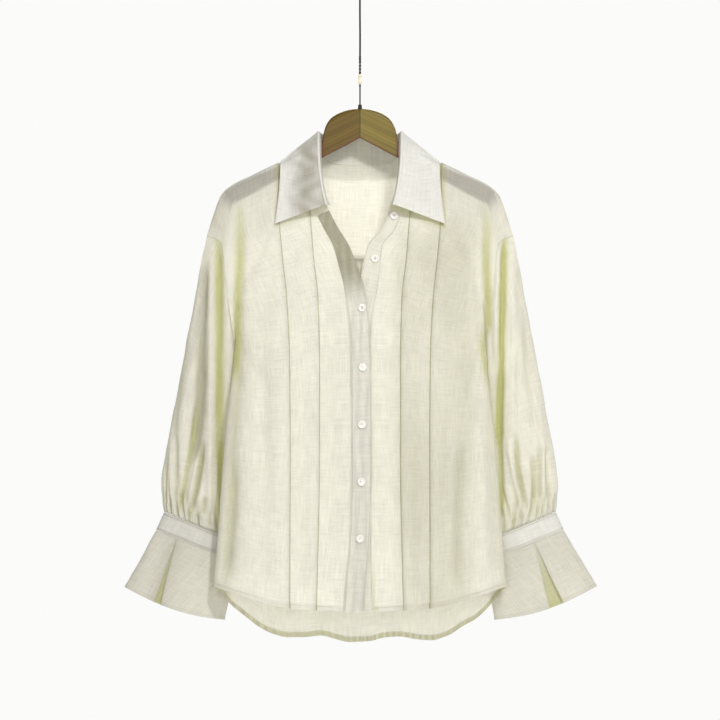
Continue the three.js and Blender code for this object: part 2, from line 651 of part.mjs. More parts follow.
// ring of the cuff between two rows of its table, with its pleats opening towards the hem
function cuffRing(a, b, part, pleats, side) {
  const value = (key) => mix(a[key], b[key], part);
  const columns = Array.from({ length: CUFF_COLUMNS }, (_, j) => (
    { k: j / CUFF_COLUMNS, sink: 0, shift: 0 }
  ));
  const bow = pleats.length ? FLARE_SAG * part : 0;
  return pleatedColumns(columns, pleats).map(({ k, sink, shift }) => {
    const angle = 2 * Math.PI * (k + shift);
    const across = (1 - Math.cos(angle)) / 2;
    const sag = bow * Math.sin(across * Math.PI);
    const half = value("half") - sink;
    return placed(new THREE.Vector3(
      mix(value("outX"), value("inX"), across),
      CUFF_Y - half * Math.sin(angle),
      mix(value("outZ"), value("inZ"), across) - sag,
    ), side);
  });
}

// each inverted pleat: two edges that hang over a sunk leaf
function pleatedColumns(columns, pleats) {
  const clear = columns.filter(({ k }) => pleats.every((p) => Math.abs(k - p.k) > PLEAT_CLEAR));
  const added = pleats.flatMap(({ k, open, sink }) => [
    { k, sink: 0, shift: -open },
    { k, sink: sink * 0.5, shift: -open * 1.35 },
    { k, sink, shift: -open * 0.9 },
    { k, sink: sink * 1.02, shift: 0 },
    { k, sink, shift: open * 0.9 },
    { k, sink: sink * 0.5, shift: open * 1.35 },
    { k, sink: 0, shift: open },
  ]);
  return [...clear, ...added].sort((p, q) => p.k - q.k);
}

function cuffBand(side) {
  const grid = [0, 0.5, 1].map((part) => cuffRing(CUFF.bandTop, CUFF.bandEnd, part, [], side));
  return wall(grid, gridNormals(grid, true), DOUBLE, true);
}

function cuffFlare(side) {
  const { flareTop, middle, hem } = CUFF;
  const rows = [
    { a: flareTop, b: middle, part: 0, down: 0.08 }, { a: flareTop, b: middle, part: 0.5, down: 0.3 },
    { a: middle, b: hem, part: 0, down: 0.55 }, { a: middle, b: hem, part: 0.5, down: 0.78 },
    { a: middle, b: hem, part: 1, down: 1 },
  ];
  const grid = rows.map(({ a, b, part, down }) => {
    const open = 0.02 * down + 0.004;
    const pleats = CUFF_PLEATS.map((k) => ({ k, open, sink: PLEAT_SINK * down }));
    return cuffRing(a, b, part, pleats, side);
  });
  return wall(grid, gridNormals(grid, true), CLOTH, true);
}

// seam between neck and collar stand at a, from the middle of the back to the front
function neckPoint(a) {
  if (a <= 0.5) {
    const part = a / 0.5;
    const points = BACK_NECK.map((row) => new THREE.Vector3(row.x, row.y, row.z));
    const point = alongPolyline(points, part);
    const side = ease((part - 0.75) / 0.25);
    return point.add(new THREE.Vector3(-0.9 * side, 0, NECK_GAP));
  }
  const v = ((a - 0.5) / 0.5) ** 2 * STAND_END;
  const z = mix(shoulderZ(NECK_X), frontHemZ(0), v);
  const x = look(INNER, "z", "under", z);
  const depth = frontDepth(x, z, v);
  return new THREE.Vector3(x - STAND_INSET, -depth, z + NECK_GAP * bell(a - 0.5, 0.15));
}

function collarRoll(a) {
  const get = (column) => look(COLLAR, "a", column, a);
  return new THREE.Vector3(get("rollX"), get("rollY"), get("rollZ"));
}

function wholeCollar(half) {
  const right = half.filter((a) => a > 0).map((a) => ({ a, side: -1 })).reverse();
  return [...right, ...half.map((a) => ({ a, side: 1 }))];
}

const COLLAR_STATIONS = [
  0, 0.12, 0.24, 0.34, 0.42, 0.46, 0.48, 0.5, 0.52, 0.55, 0.6, 0.68, 0.77, 0.88, 1,
];

function collarStand() {
  const stations = wholeCollar(COLLAR_STATIONS);
  const grid = [0, 0.5, 1].map((up) => stations.map(({ a, side }) => {
    const roll = collarRoll(a);
    return placed(neckPoint(a).lerp(roll, up), side);
  }));
  return wall(grid, gridNormals(grid, false), DOUBLE);
}

// height of the body's cloth under the collar's leaf, as y
function underCollar(x, z, behind) {
  if (behind) return yokeDepth(x, z);
  const v = Math.max((shoulderZ(x) - z) / (shoulderZ(x) - frontHemZ(x)), 0);
  return -frontDepth(x, z, v);
}

function collarLeafPoint(a, down) {
  const roll = collarRoll(a);
  const stand = roll.clone().sub(neckPoint(a)).normalize();
  const out = new THREE.Vector3(1, 0, 0);
  if (a < 0.42) out.lerp(Y_AXIS, 1 - ease(a / 0.42)).normalize();
  out.addScaledVector(stand, -out.dot(stand)).normalize();
  const start = roll.clone().addScaledVector(stand, DOUBLE / 2 + SEAM);
  if (down === 0) return start;
  if (down < 0.1) return start.addScaledVector(stand, 1.4).addScaledVector(out, COLLAR_LIFT / 2);
  start.addScaledVector(out, COLLAR_LIFT).addScaledVector(stand, -0.4);
  const x = look(COLLAR, "a", "edgeX", a);
  const z = look(COLLAR, "a", "edgeZ", a);
  const behind = a < 0.5;
  const far = new THREE.Vector3(x, underCollar(x, z, behind), z);
  const point = start.lerp(far, (down - 0.1) / 0.9);
  const clear = COLLAR_CLEAR * ease(Math.abs(a - 0.5) / 0.1) + COLLAR_LIFT;
  const under = underCollar(point.x, point.z, behind);
  if (behind) point.y = Math.max(point.y, under + Math.min(clear, COLLAR_LIFT + 1));
  else point.y = Math.min(point.y, under - clear);
  return point;
}

function collarLeaf() {
  const stations = wholeCollar(COLLAR_STATIONS);
  const grid = [0, 0.05, 0.1, 0.3, 0.55, 0.8, 1].map((down) => (
    stations.map(({ a, side }) => placed(collarLeafPoint(a, down), side))
  ));
  return wall(grid, gridNormals(grid, false), DOUBLE);
}

function button({ x, z, side }) {
  const points = BUTTON_PROFILE.map(({ r, y }) => new THREE.Vector2(r, y));
  const geometry = new THREE.LatheGeometry(points, 12);
  const reach = x * side;
  const v = (shoulderZ(NECK_X) - z) / (shoulderZ(NECK_X) - frontHemZ(0));
  const lift = overlapLift(side, reach, z) + 1.5 * CLOTH + 2 * SEAM;
  const at = surfacePoint(side, reach, z, (a, b) => frontDepth(a, b, v), -1, lift);
  const ahead = surfacePoint(side, reach, z, (a, b) => frontDepth(a, b, v), -1, lift + 1);
  const turn = new THREE.Quaternion().setFromUnitVectors(Y_AXIS, ahead.sub(at).normalize());
  geometry.deleteAttribute("uv");
  geometry.deleteAttribute("normal");
  return { geometry: mergedLathe(geometry), at, turn };
}

// joins the seam and the poles of a lathe's surface
function mergedLathe(geometry) {
  const position = geometry.getAttribute("position");
  const seen = new Map();
  const points = [];
  const order = [];
  for (let i = 0; i < position.count; i += 1) {
    const point = new THREE.Vector3().fromBufferAttribute(position, i);
    const key = point.toArray().map((value) => Math.round(value * 1e4)).join();
    if (!seen.has(key)) {
      seen.set(key, points.length);
      points.push(point);
    }
    order.push(seen.get(key));
  }
  const index = geometry.index.array;
  const triangles = [];
  for (let i = 0; i < index.length; i += 3) {
    const face = [order[index[i]], order[index[i + 1]], order[index[i + 2]]];
    if (new Set(face).size === 3) triangles.push(face);
  }
  return solid(points, triangles);
}

// one wooden arm, in upright sections from the middle to the tip, round along its upper edge
function hangerArm(side) {
  const half = ARM_THICK / 2;
  const stations = [0.15, 14, 27, 38, 46, 52.5, 56, NECK_EDGE_X, 80, 110, 145, 175, 192, 200, 204];
  const sections = stations.map((x) => {
    const along = shoulderZ(x) - ARM_GAP - 2.5 * ease((x - 190) / 14);
    const top = x <= NECK_EDGE_X ? look(ARM_TOP, "x", "z", x) : along;
    const low = look(ARM_LOW, "x", "z", x);
    const depth = half * (1 - 0.5 * ease((x - 165) / 38));
    return ARM_SECTION.map(({ across, down, low: share }) => {
      const z = mix(top, low, share) - down;
      return new THREE.Vector3(side * x, across * depth, z);
    });
  });
  return capped(sections);
}

// closed solid through open sections, each a ring of the same number of points
function capped(sections) {
  const n = sections[0].length;
  const points = sections.flat();
  const faces = [];
  for (let i = 0; i < sections.length - 1; i += 1) {
    for (let j = 0; j < n; j += 1) {
      const [a, b] = [i * n + j, i * n + ((j + 1) % n)];
      faces.push([a, b, b + n], [a, b + n, a + n]);
    }
  }
  const end = (sections.length - 1) * n;
  for (let j = 1; j < n - 1; j += 1) {
    faces.push([0, j + 1, j], [end, end + j, end + j + 1]);
  }
  return solid(points, faces);
}

function hangerFerrule() {
  const profile = [
    { r: 0, z: -198.4 }, { r: 2.9, z: -198.4 }, { r: 2.9, z: -193.5 }, { r: 1.8, z: -192.5 },
    { r: 0, z: -192.5 },
  ];
  const points = profile.map(({ r, z }) => new THREE.Vector2(r, z));
  const geometry = new THREE.LatheGeometry(points, 12);
  geometry.rotateX(Math.PI / 2);
  return mergedLathe(geometry);
}

// the wire with its closed eye on top
function hangerHook() {
  const arc = Array.from({ length: 11 }, (_, i) => {
    const angle = -Math.PI / 2 + (i / 11) * 2 * Math.PI;
    const z = EYE_RADIUS * (Math.sin(angle) - 1) - WIRE_RADIUS;
    return { x: EYE_RADIUS * Math.cos(angle), z, radius: WIRE_RADIUS };
  });
  const route = [...HOOK, ...arc];
  const path = route.map(({ x, z }) => new THREE.Vector3(x, 0, z));
  const sides = 8;
  const rings = path.map((point, i) => {
    const before = path[Math.max(i - 1, 0)];
    const after = path[Math.min(i + 1, path.length - 1)];
    const tangent = after.clone().sub(before).normalize();
    const across = new THREE.Vector3().crossVectors(Y_AXIS, tangent).normalize();
    return Array.from({ length: sides }, (_, j) => {
      const angle = (j / sides) * 2 * Math.PI;
      return point.clone()
        .addScaledVector(Y_AXIS, route[i].radius * Math.cos(angle))
        .addScaledVector(across, route[i].radius * Math.sin(angle));
    });
  });
  return capped(rings);
}

const group = new THREE.Group();

function add(name, geometry, finish) {
  const mesh = new THREE.Mesh(geometry, new THREE.MeshStandardMaterial(finish));
  mesh.name = name;
  group.add(mesh);
  return mesh;
}

for (const [side, name] of [[-1, "right"], [1, "left"]]) {
  add(`front_${name}`, front(side), LINEN);
  add(`placket_${name}`, buttonBand(side), LINEN);
  add(`sleeve_${name}`, sleeve(side), LINEN);
  add(`cuff_band_${name}`, cuffBand(side), LINEN);
  add(`cuff_flare_${name}`, cuffFlare(side), LINEN);
  add(`hanger_arm_${name}`, hangerArm(side), WOOD);
}
add("back_yoke", backYoke(), LINEN);
add("back", back(), LINEN);
add("collar_stand", collarStand(), LINEN);
add("collar_leaf", collarLeaf(), LINEN);
for (const [i, row] of BUTTONS.entries()) {
  const { geometry, at, turn } = button(row);
  const mesh = add(`button_${i + 1}`, geometry, PEARL);
  mesh.position.copy(at);
  mesh.quaternion.copy(turn);
}
add("hanger_ferrule", hangerFerrule(), STEEL);
add("hanger_hook", hangerHook(), STEEL);

export default group;
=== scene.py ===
"""A women's linen blouse on a wooden hanger, dressed piece by piece on its fixed frame.

Sizes in the tables are millimetres: +Z is up, the front faces -Y, and the origin is where the hanger's
hook is held. A side is -1 for the wearer's right and +1 for the wearer's left, and x in a table is
measured from the middle towards that side. Meshes are made in metres.
"""
import math
from types import SimpleNamespace

import bmesh
import bpy
import numpy as np
from mathutils import Matrix, Vector


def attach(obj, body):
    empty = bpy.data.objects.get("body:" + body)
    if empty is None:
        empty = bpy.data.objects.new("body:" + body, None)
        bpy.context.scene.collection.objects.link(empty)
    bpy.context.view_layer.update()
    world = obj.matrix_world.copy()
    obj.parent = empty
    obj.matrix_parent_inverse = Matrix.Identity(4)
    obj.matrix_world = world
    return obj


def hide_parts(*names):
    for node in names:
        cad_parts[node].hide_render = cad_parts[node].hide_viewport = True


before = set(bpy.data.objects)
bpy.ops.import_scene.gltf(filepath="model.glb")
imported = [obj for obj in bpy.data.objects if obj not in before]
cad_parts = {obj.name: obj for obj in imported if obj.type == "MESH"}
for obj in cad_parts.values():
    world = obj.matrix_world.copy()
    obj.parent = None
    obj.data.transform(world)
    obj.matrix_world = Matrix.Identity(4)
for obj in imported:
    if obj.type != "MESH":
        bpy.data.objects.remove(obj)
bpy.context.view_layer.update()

bl_info = {
    "name": "Linen blouse on a hanger",
    "version": (1, 0, 0),
    "blender": (4, 5, 0),
    "location": "3D View > Sidebar > Blouse",
    "description": "Builds the blouse's cloth, buttons and hanger, and the studio round them",
    "category": "Add Mesh",
}

MM = 0.001
SIDES = ((-1, "right"), (1, "left"))

# Body form
TUCK_DEPTH = 4.5
BACK_PLEAT = 15
HALF_BACK = 208
BAND_WIDTH = 31
HANGER_ROLL = 9
ROLL_FALL = 2.5
NECK_X = 60
BACK_DEPTH = 46
YOKE_Z = -423
YOKE_END = 0.079
UNDERARM = 0.326
BAND_TOP = 0.145
ARMHOLE_X = 203
SHOULDER_X = 229.5
HEM_X = 219.5
SIDE_TOP_Z = -388.5
SIDE_HEM_Z = -916
OVERLAP_LIFT = 3.2
COLLAR_CLEAR = 4
COLLAR_LIFT = 3.4
NECK_GAP = 1.1
STAND_INSET = 1.7
STAND_END = 0.134
CUFF_Y = 42
PLEAT_SINK = 9
PLEAT_CLEAR = 0.045
FLARE_SAG = 9
SEWN = 0.08  # gap between sewn pieces
SETTLE = 0.06  # share of the way down in which a column leaves its place on the shoulder
HEM_START = 0.985
BAND_LIFT = 0.75
TACK_Z = -482
STITCH_FILL = 0.72  # length of a stitch as a share of its pitch
WIRE = 1.4
EYE = 9

# Hanger finish, in metres: painted shade at the ends of the dome, the mitre, and painted shade along the
# lower edge as z + slope * reach
DOME_END = (0.053, 0.056)
MITRE = (0.0005, 0.0011)
UNDERSIDE_SHADE_SLOPE = 0.522
UNDERSIDE_SHADE = (-0.2405, -0.2395)

# Studio, in metres and watts
FLOOR_Z = -1.35
CAMERA_PLACE = (0, -9, -0.576)
LENS = 300
LIGHTS = (
    ("key", (1.0, -3.1, 1.7), 0.45, 112), ("fill", (-0.4, -4.2, -0.45), 1.2, 44),
    ("back", (0.3, 2.6, 1.0), 2.0, 70),
)


def table(names, *rows):
    """A short table as a dictionary of columns."""
    return dict(zip(names.split(), np.array(rows, dtype=float).T))


SHOULDER = table(
    "x z",
    (60, -249.8), (84, -261.8), (118.5, -279.8), (160, -298.5), (193.5, -315),
    (209.3, -330), (214.5, -343.5), (221.3, -363.5), (229.5, -388.5),
)
# outer edge of the body: armhole, then side seam; v is how far down, y the armhole's depth
OUTER = table(
    "v x y",
    (0, 229.5, 0.2), (0.005, 221, 4), (0.0125, 213, 8), (0.026, 207, 12), (0.05, 204.5, 16),
    (YOKE_END, 203, 18), (0.145, 200, 19), (0.21, 196, 17), (0.28, 191, 10), (UNDERARM, 188, 0.2),
    (0.4, 191.5, 0.2), (0.52, 199, 0.2), (0.64, 205, 0.2), (0.76, 209.5, 0.2), (0.87, 213.5, 0.2),
    (1, 219.5, 0.2),
)
# inner edge of each front: over laps on top, under lies below
INNER = table(
    "z over under",
    (-249.8, 60, 60), (-268, 60, 60), (-300, 58, 58), (-330, 53.5, 53), (-344, 49.5, 46.5),
    (-378, 33, 33), (-405, 16.5, 11), (-436, 4.5, 4), (-466, -6, -2), (-516, -13.5, -12),
    (-560, -16.5, -13.5), (-714, -18, -13.5), (-792, -17, -13.5), (-858, -14, -13),
    (-906, -9, -12), (-955, -6, -10),
)
# folded edges of the tucks, and the deep fold beside the armhole
LINES = table(
    "z outer inner fold",
    (-260, 122, 84, 190), (-355, 121, 74.5, 181), (-423, 115.5, 69, 180), (-482, 109, 62.5, 183),
    (-576, 104.5, 60, 184), (-726, 103.5, 60, 191), (-868, 104, 62.5, 202), (-955, 104, 65, 209),
)
FRONT = table(
    "z depth fold",
    (-240, 18, 0), (-330, 32, 0), (-360, 36, 5), (-420, 42, 12), (-500, 48, 13), (-560, 50, 7),
    (-640, 52, 3), (-800, 54, 2), (-960, 58, 1),
)
FRONT_HEM = table(
    "x z",
    (0, -953), (60, -949.5), (105, -946.5), (135, -941), (160, -934), (190, -925), (HEM_X, SIDE_HEM_Z),
)
BACK_HEM = table(
    "x right left",
    (0, -1001, -1001), (15, -1001.5, -1000), (35, -997.5, -995), (60, -991.5, -993),
    (85, -994, -997), (108, -994, -998.5), (133, -988, -991), (155, -976, -977), (175, -960, -965),
    (195, -943, -945), (207, -927, -928), (HEM_X, SIDE_HEM_Z, SIDE_HEM_Z),
)
BACK_NECK = table(
    "x y z",
    (0, 38, -283), (25, 36.5, -282.3), (44, 32, -280), (54, 22, -272.5), (58.3, 13, -262),
    (59.7, 7.4, -254.2), (NECK_X, 0.2, -249.8),
)
# collar from the middle of the back, a = 0, over the shoulder, a = 0.5, to its front end
COLLAR = table(
    "a roll_x roll_y roll_z edge_x edge_z",
    (0, 0, 43, -242, 0, -304), (0.2, 30, 41, -241, 36, -303), (0.34, 51, 32, -240, 72, -297),
    (0.42, 59.5, 18, -236, 103, -290), (0.46, 60.5, 10, -235, 112, -283.5),
    (0.48, 61, 5, -235, 115.5, -279.4), (0.5, 61, 0, -235, 118, -277), (0.52, 61, -5, -236, 119, -280),
    (0.55, 61, -10, -239, 119.5, -287), (0.62, 61, -20, -249, 120, -304),
    (0.75, 60, -30, -278, 122, -330), (0.88, 56, -36, -313, 125, -354), (1, 49, -40, -344, 127.5, -372),
)
SLEEVE = table(
    "t out_x out_z in_x in_z y half free",
    (0, 229.5, -389, 188.5, -560.6, 0, 19, 0), (0.05, 232.6, -404, 188.9, -566, 2.5, 22, 0.3),
    (0.13, 238.5, -432, 189.3, -575, 5, 23.5, 0.6), (0.24, 246.5, -478, 189.8, -590, 9, 24.5, 0.85),
    (0.36, 256, -532, 190.3, -608, 14, 25, 1), (0.49, 267.5, -590, 190, -640, 26, 24, 1),
    (0.62, 279.5, -650, 187, -686, 36, 24, 1), (0.75, 291, -708, 182, -738, 40, 24.5, 1),
    (0.86, 298, -757, 178.5, -788, 42, 24, 1), (0.95, 297, -788, 176.5, -830, 42, 20, 1),
    (1, 294.5, -804.5, 176, -852, 42, 17, 1),
)
CUFF_BAND = table(
    "down out_x out_z in_x in_z half",
    (0, 294.6, -805.6, 175.8, -853.2, 17), (1, 306.6, -832, 187.6, -879.5, 17.5),
)
CUFF_FLARE = table(
    "down out_x out_z in_x in_z half",
    (0, 307, -832.8, 188, -880.3, 17.8), (0.5, 331, -874, 195, -924, 25), (1, 356, -917, 204, -967, 33),
)
# x, z and side of each button
BUTTONS = (
    (3, -498.7, -1), (4.2, -586.5, -1), (3, -672, -1), (2.2, -757.5, -1), (0.4, -842.3, -1),
    (51, -360, 1), (22.5, -424.5, 1),
)
# inverted pleats of the flares: where round the ring at the top and the hem, and half opening there
FLARE_PLEATS = {
    -1: table("top hem open", (0.172, 0.198, 0.0125), (0.72, 0.72, 0.022)),
    1: table("top hem open", (0.212, 0.217, 0.0235), (0.72, 0.72, 0.018)),
}
ARM_TOP = table(
    "x z",
    (0.02, -198.8), (14, -200.2), (29, -204.6), (42, -212), (50, -222), (54.8, -236), (57, -248),
    (58, -252),
)
ARM_LOW = table(
    "x z", (0.15, -243), (58.5, -273.5), (129, -309.5), (186, -340), (197, -344.5), (204, -341),
)
# half the section of an arm: share of the depth, drop and share of the way down
ARM_SECTION = table(
    "across drop down",
    (0, 0, 0), (0.34, 0.35, 0), (0.62, 1.4, 0), (0.84, 3.2, 0), (0.96, 5.2, 0), (1, 8, 0),
    (1, -3, 1), (0.97, -1.4, 1), (0.88, -0.3, 1), (0.7, 0, 1),
)
ARM_HALF = 6.5

# Creases: soft troughs, depth under 0, and ridges, from one end to the other; bow bends one
# sideways, and glow is how far passed light turns the fold yellow, over 1 where that is broad
CREASE = "x0 z0 x1 z1 width depth bow glow"
FRONT_RIGHT_CREASES = table(
    CREASE,
    (190, -735, 203, -905, 9, -6, 3, 0.2), (178, -560, 196, -760, 8, -2.6, -4, 0),
    (160, -700, 172, -925, 14, 3.2, 4, 0), (146, -520, 139, -940, 12, -2.4, 6, 0),
    (124, -640, 121, -940, 10, 1.8, -2, 0), (84, -500, 83, -945, 9, -1.3, 3, 0),
    (84, -380, 92, -520, 8, 1.1, 2, 0), (135, -385, 182, -470, 8, -2.2, 6, 0),
    (150, -372, 186, -402, 6, -1.4, 3, 0), (186, -528, 150, -600, 7, -1.6, -5, 0),
    (192, -590, 168, -640, 6, -1.2, 3, 0), (40, -620, 47, -760, 7, -1.2, 2, 0),
    (36, -800, 45, -940, 8, 1.2, -2, 0), (112, -440, 118, -560, 6, -1, 1, 0),
)
FRONT_LEFT_CREASES = table(
    CREASE,
    (154, -690, 147, -915, 9, -5.5, 3, 0.1), (178, -680, 180, -920, 12, 4, -3, 0),
    (166, -830, 168, -925, 5, -2.2, 1, 0), (125, -650, 122, -940, 9, -2.4, -2, 0),
    (196, -620, 206, -905, 9, -2.4, 3, 0), (84, -470, 80, -945, 9, -1.6, -3, 0),
    (140, -390, 180, -500, 9, -2, -6, 0), (160, -380, 188, -430, 6, -1.3, -3, 0),
    (188, -545, 158, -640, 8, -1.8, 5, 0), (150, -560, 140, -690, 9, 1.4, 3, 0),
    (38, -560, 34, -700, 8, -1.2, -2, 0), (42, -740, 40, -945, 8, 1.3, 2, 0),
    (92, -455, 103, -400, 6, -1.4, 2, 0), (48, -420, 66, -500, 6, -1.4, -3, 0.1),
)
BACK_CREASES = table(
    CREASE,
    (34, -470, 40, -985, 13, 3.4, 4, 0), (-34, -450, -38, -985, 12, 3, -5, 0),
    (62, -520, 66, -985, 12, -4.2, -3, 0.1), (-64, -500, -60, -985, 12, -4, 4, 0.1),
    (92, -480, 98, -990, 14, 3.6, 5, 0), (-96, -540, -104, -990, 15, 3.4, -4, 0),
    (128, -560, 134, -980, 12, -4.4, 3, 0.1), (-132, -520, -130, -980, 12, -4, -5, 0.1),
    (160, -600, 166, -960, 13, 3.2, -2, 0), (-162, -640, -168, -960, 13, 3, 3, 0),
    (186, -640, 196, -930, 9, -3.2, 2, 0), (-188, -600, -196, -930, 9, -3, -2, 0),
    (150, -440, 190, -540, 10, -2.6, 8, 0), (-140, -445, -188, -530, 10, -2.8, -9, 0),
    (176, -560, 120, -640, 8, -1.4, 6, 0), (-180, -565, -128, -660, 8, -1.5, -6, 0),
)
SLEEVE_RIGHT_CREASES = table(
    CREASE,
    (212, -385, 211, -700, 6.5, -4, 1, 1.1), (211, -690, 208, -850, 6, -4, 1, 1.1),
    (197, -420, 199, -590, 5, 3.5, 1, 0), (187, -370, 188, -500, 5, -3, 1, 0.7),
    (234, -430, 238, -560, 8, -6, 1, 0.1), (238, -540, 250, -730, 8, -7, 3, 0.2),
    (224, -400, 226, -700, 5, 3.4, 0, 0), (258, -500, 272, -680, 8, 3.2, 3, 0),
    (246, -650, 273, -806, 3.6, -6, 2, 0.55), (252, -690, 268, -775, 4, 3.6, 1, 0),
    (277, -690, 278, -785, 3.6, -4.5, 1, 0.15), (284, -690, 285, -790, 4, 3, 0, 0),
    (236, -700, 257, -815, 4, -6, 3, 0.45), (244, -715, 261, -803, 3.6, 3.6, 1, 0),
    (225, -690, 226, -822, 4.5, 4.2, -1, 0), (233, -782, 236, -808, 3.4, -4, 0, 0.35),
    (293, -725, 292, -797, 3.4, -3, 0, 0.1), (262, -560, 280, -700, 6, -3, -3, 0.1),
    (206, -352, 196, -388, 4, -1.8, 2, 0), (220, -372, 206, -400, 3.5, -1.4, -2, 0),
)
SLEEVE_LEFT_CREASES = table(
    CREASE,
    (217, -390, 212, -600, 5, -4.5, 1, 1.6), (212, -590, 209, -700, 5.5, -4.5, 1, 1.7),
    (209, -690, 212, -810, 4, -5, -1, 0.9), (205, -400, 204, -570, 5, 4, 0, 0),
    (190, -400, 192, -530, 4.5, -5, 0, 1.4), (200, -318, 194, -400, 7, -3.5, -3, 0.4),
    (228, -420, 227, -700, 5.5, 3, -2, 0), (248, -520, 262, -680, 7, -3, 3, 0.1),
    (256, -470, 280, -700, 9, 2.6, 2, 0), (235, -690, 250, -800, 4, -6, 3, 0.45),
    (223, -695, 248, -816, 4, 4.6, 3, 0), (271, -700, 268, -785, 3.8, -5, 1, 0.2),
    (281, -705, 284, -785, 3.8, -5, 1, 0.2), (276, -700, 276, -790, 3.6, 3.4, 0, 0),
    (258, -720, 262, -806, 3.8, -4.6, -1, 0.25), (214, -770, 232, -832, 3.2, -4.6, 1, 0.3),
    (213, -800, 222, -838, 3, -4, 1, 0.3), (243, -730, 256, -812, 3.6, 3, 1, 0),
    (214, -350, 222, -376, 4, -1.6, -2, 0), (208, -362, 219, -392, 3.5, -1.4, 2, 0.2),
)
SLEEVE_BACK_CREASES = table(
    CREASE,
    (205, -520, 214, -760, 8, -5, 3, 0.4), (222, -470, 240, -760, 9, 3.5, -3, 0),
    (236, -520, 258, -780, 8, -4.5, 2, 0.2), (252, -480, 276, -740, 8, 3, 3, 0),
    (266, -600, 285, -770, 6, -3, 2, 0.1), (212, -440, 236, -500, 8, -3.5, 6, 0.1),
    (206, -480, 230, -560, 8, -2.6, 5, 0), (200, -600, 196, -800, 6, 2.6, 1, 0),
)


# Small maths

def look(rows, key, column, value):
    """Smooth value of a table's column where its key has the given value, with no overshoot."""
    keys, values = rows[key], rows[column]
    if keys[0] > keys[-1]:
        keys, values = keys[::-1], values[::-1]
    value = np.asarray(value, dtype=float)
    step = np.diff(keys)
    slope = np.diff(values) / step
    tangent = np.concatenate([slope[:1], np.zeros(len(keys) - 2), slope[-1:]])
    before, after = slope[:-1], slope[1:]
    heavy = 2 * step[1:] + step[:-1]
    light = step[1:] + 2 * step[:-1]
    same = before * after > 0
    safe_before = np.where(same, before, 1)
    safe_after = np.where(same, after, 1)
    mean = (heavy + light) / (heavy / safe_before + light / safe_after)
    tangent[1:-1] = np.where(same, mean, 0)
    place = np.clip(np.searchsorted(keys, value) - 1, 0, len(keys) - 2)
    width = step[place]
    t = np.clip((value - keys[place]) / width, 0, 1)
    rise = values[place + 1] - values[place]
    a, b = tangent[place] * width, tangent[place + 1] * width
    return values[place] + t * (a + t * (3 * rise - 2 * a - b + t * (a + b - 2 * rise)))


def mix(a, b, t):
    """From a at t = 0 to b at t = 1."""
    return a + (b - a) * t


def ease(t):
    """Smooth step from 0 at t = 0 to 1 at t = 1, flat beyond."""
    c = np.clip(t, 0, 1)
    return c * c * (3 - 2 * c)


def bell(distance, width):
    """1 in the middle of a fold, 0 from one width away."""
    return 1 - ease(np.abs(distance) / width)


def points(x, y, z):
    return np.stack(np.broadcast_arrays(x, y, z), axis=-1).astype(float)


def unit(vectors):
    length = np.linalg.norm(vectors, axis=-1, keepdims=True)
    return vectors / np.maximum(length, 1e-9)


def graded(start, end, count, power=1.0):
    """Values from start to end, closer together near the start when power is over 1."""
    return start + (end - start) * np.linspace(0, 1, count) ** power


def creased(x, z, rows):
    """(height, glow) of a table of creases at points x, z."""
    height = np.zeros(np.broadcast(x, z).shape)
    glow = np.zeros_like(height)
    for i in range(len(rows["x0"])):
        x0, z0, x1, z1, width, depth, bow, tint = (rows[name][i] for name in CREASE.split())
        run, drop = x1 - x0, z1 - z0
        length = math.hypot(run, drop)
        along = ((x - x0) * run + (z - z0) * drop) / length ** 2
        inside = np.clip(along, 0, 1)
        beside = ((x - x0) * drop - (z - z0) * run) / length - bow * 4 * inside * (1 - inside)
        ends = ease((along + 0.12) / 0.35) * ease((1.12 - along) / 0.3)
        shape = np.exp(-(beside / width) ** 2) * ends
        height += depth * shape
        glow += tint * shape
    return height, np.clip(glow, 0, 1)


def waves(x, z, size, seed):
    """Broad uneven drape, a few long waves that run mostly down the cloth."""
    rng = np.random.default_rng(seed)
    height = np.zeros(np.broadcast(x, z).shape)
    for _ in range(7):
        across = rng.uniform(30, 85)
        down = rng.uniform(220, 700)
        phase = rng.uniform(0, 2 * math.pi)
        height += np.sin(2 * math.pi * (x / across + z / down) + phase) * rng.uniform(0.3, 1)
    return height * size / 3


def rumpled(x, z, size, seed):
    """Short shallow dents of handled linen, in all directions."""
    rng = np.random.default_rng(seed)
    height = np.zeros(np.broadcast(x, z).shape)
    for _ in range(26):
        angle = rng.uniform(0, math.pi)
        length = rng.uniform(26, 90)
        phase = rng.uniform(0, 2 * math.pi)
        across = (x * math.cos(angle) + z * math.sin(angle)) / length
        height += np.sin(2 * math.pi * across + phase + 1.3 * np.sin(x / 37 + z / 53 + phase))
    return height * size / 5


# Form of the body

def shoulder_z(x):
    return look(SHOULDER, "x", "z", np.maximum(x, NECK_X))


def outer_x(v):
    return look(OUTER, "v", "x", v)


def outer_y(v):
    return look(OUTER, "v", "y", v)


def side_z(v):
    return mix(SIDE_TOP_Z, SIDE_HEM_Z, v)


def roll_depth(below):
    """Depth of the cloth where it rolls over the hanger's arm."""
    return HANGER_ROLL * (1 - np.exp(-np.maximum(below, 0) / ROLL_FALL))


def front_depth(x, z, v):
    reach = np.abs(x)
    edge = outer_y(v)
    below = shoulder_z(reach) - z
    full = roll_depth(below) + (look(FRONT, "z", "depth", z) - HANGER_ROLL) * ease(below / 300)
    across = np.minimum(reach / outer_x(v), 1)
    rounding = np.sqrt(np.maximum(1 - across ** 2.6, 0))
    fold = look(FRONT, "z", "fold", z) * bell(reach - look(LINES, "z", "fold", z), 13)
    return edge + (full - edge - fold) * rounding


def back_depth(x, z, v):
    edge = outer_y(v)
    across = np.minimum(np.abs(x) / outer_x(v), 1)
    full = BACK_DEPTH + 5 * ease((YOKE_Z - z) / 500)
    return edge + (full - edge) * np.sqrt(np.maximum(1 - across ** 2.6, 0))


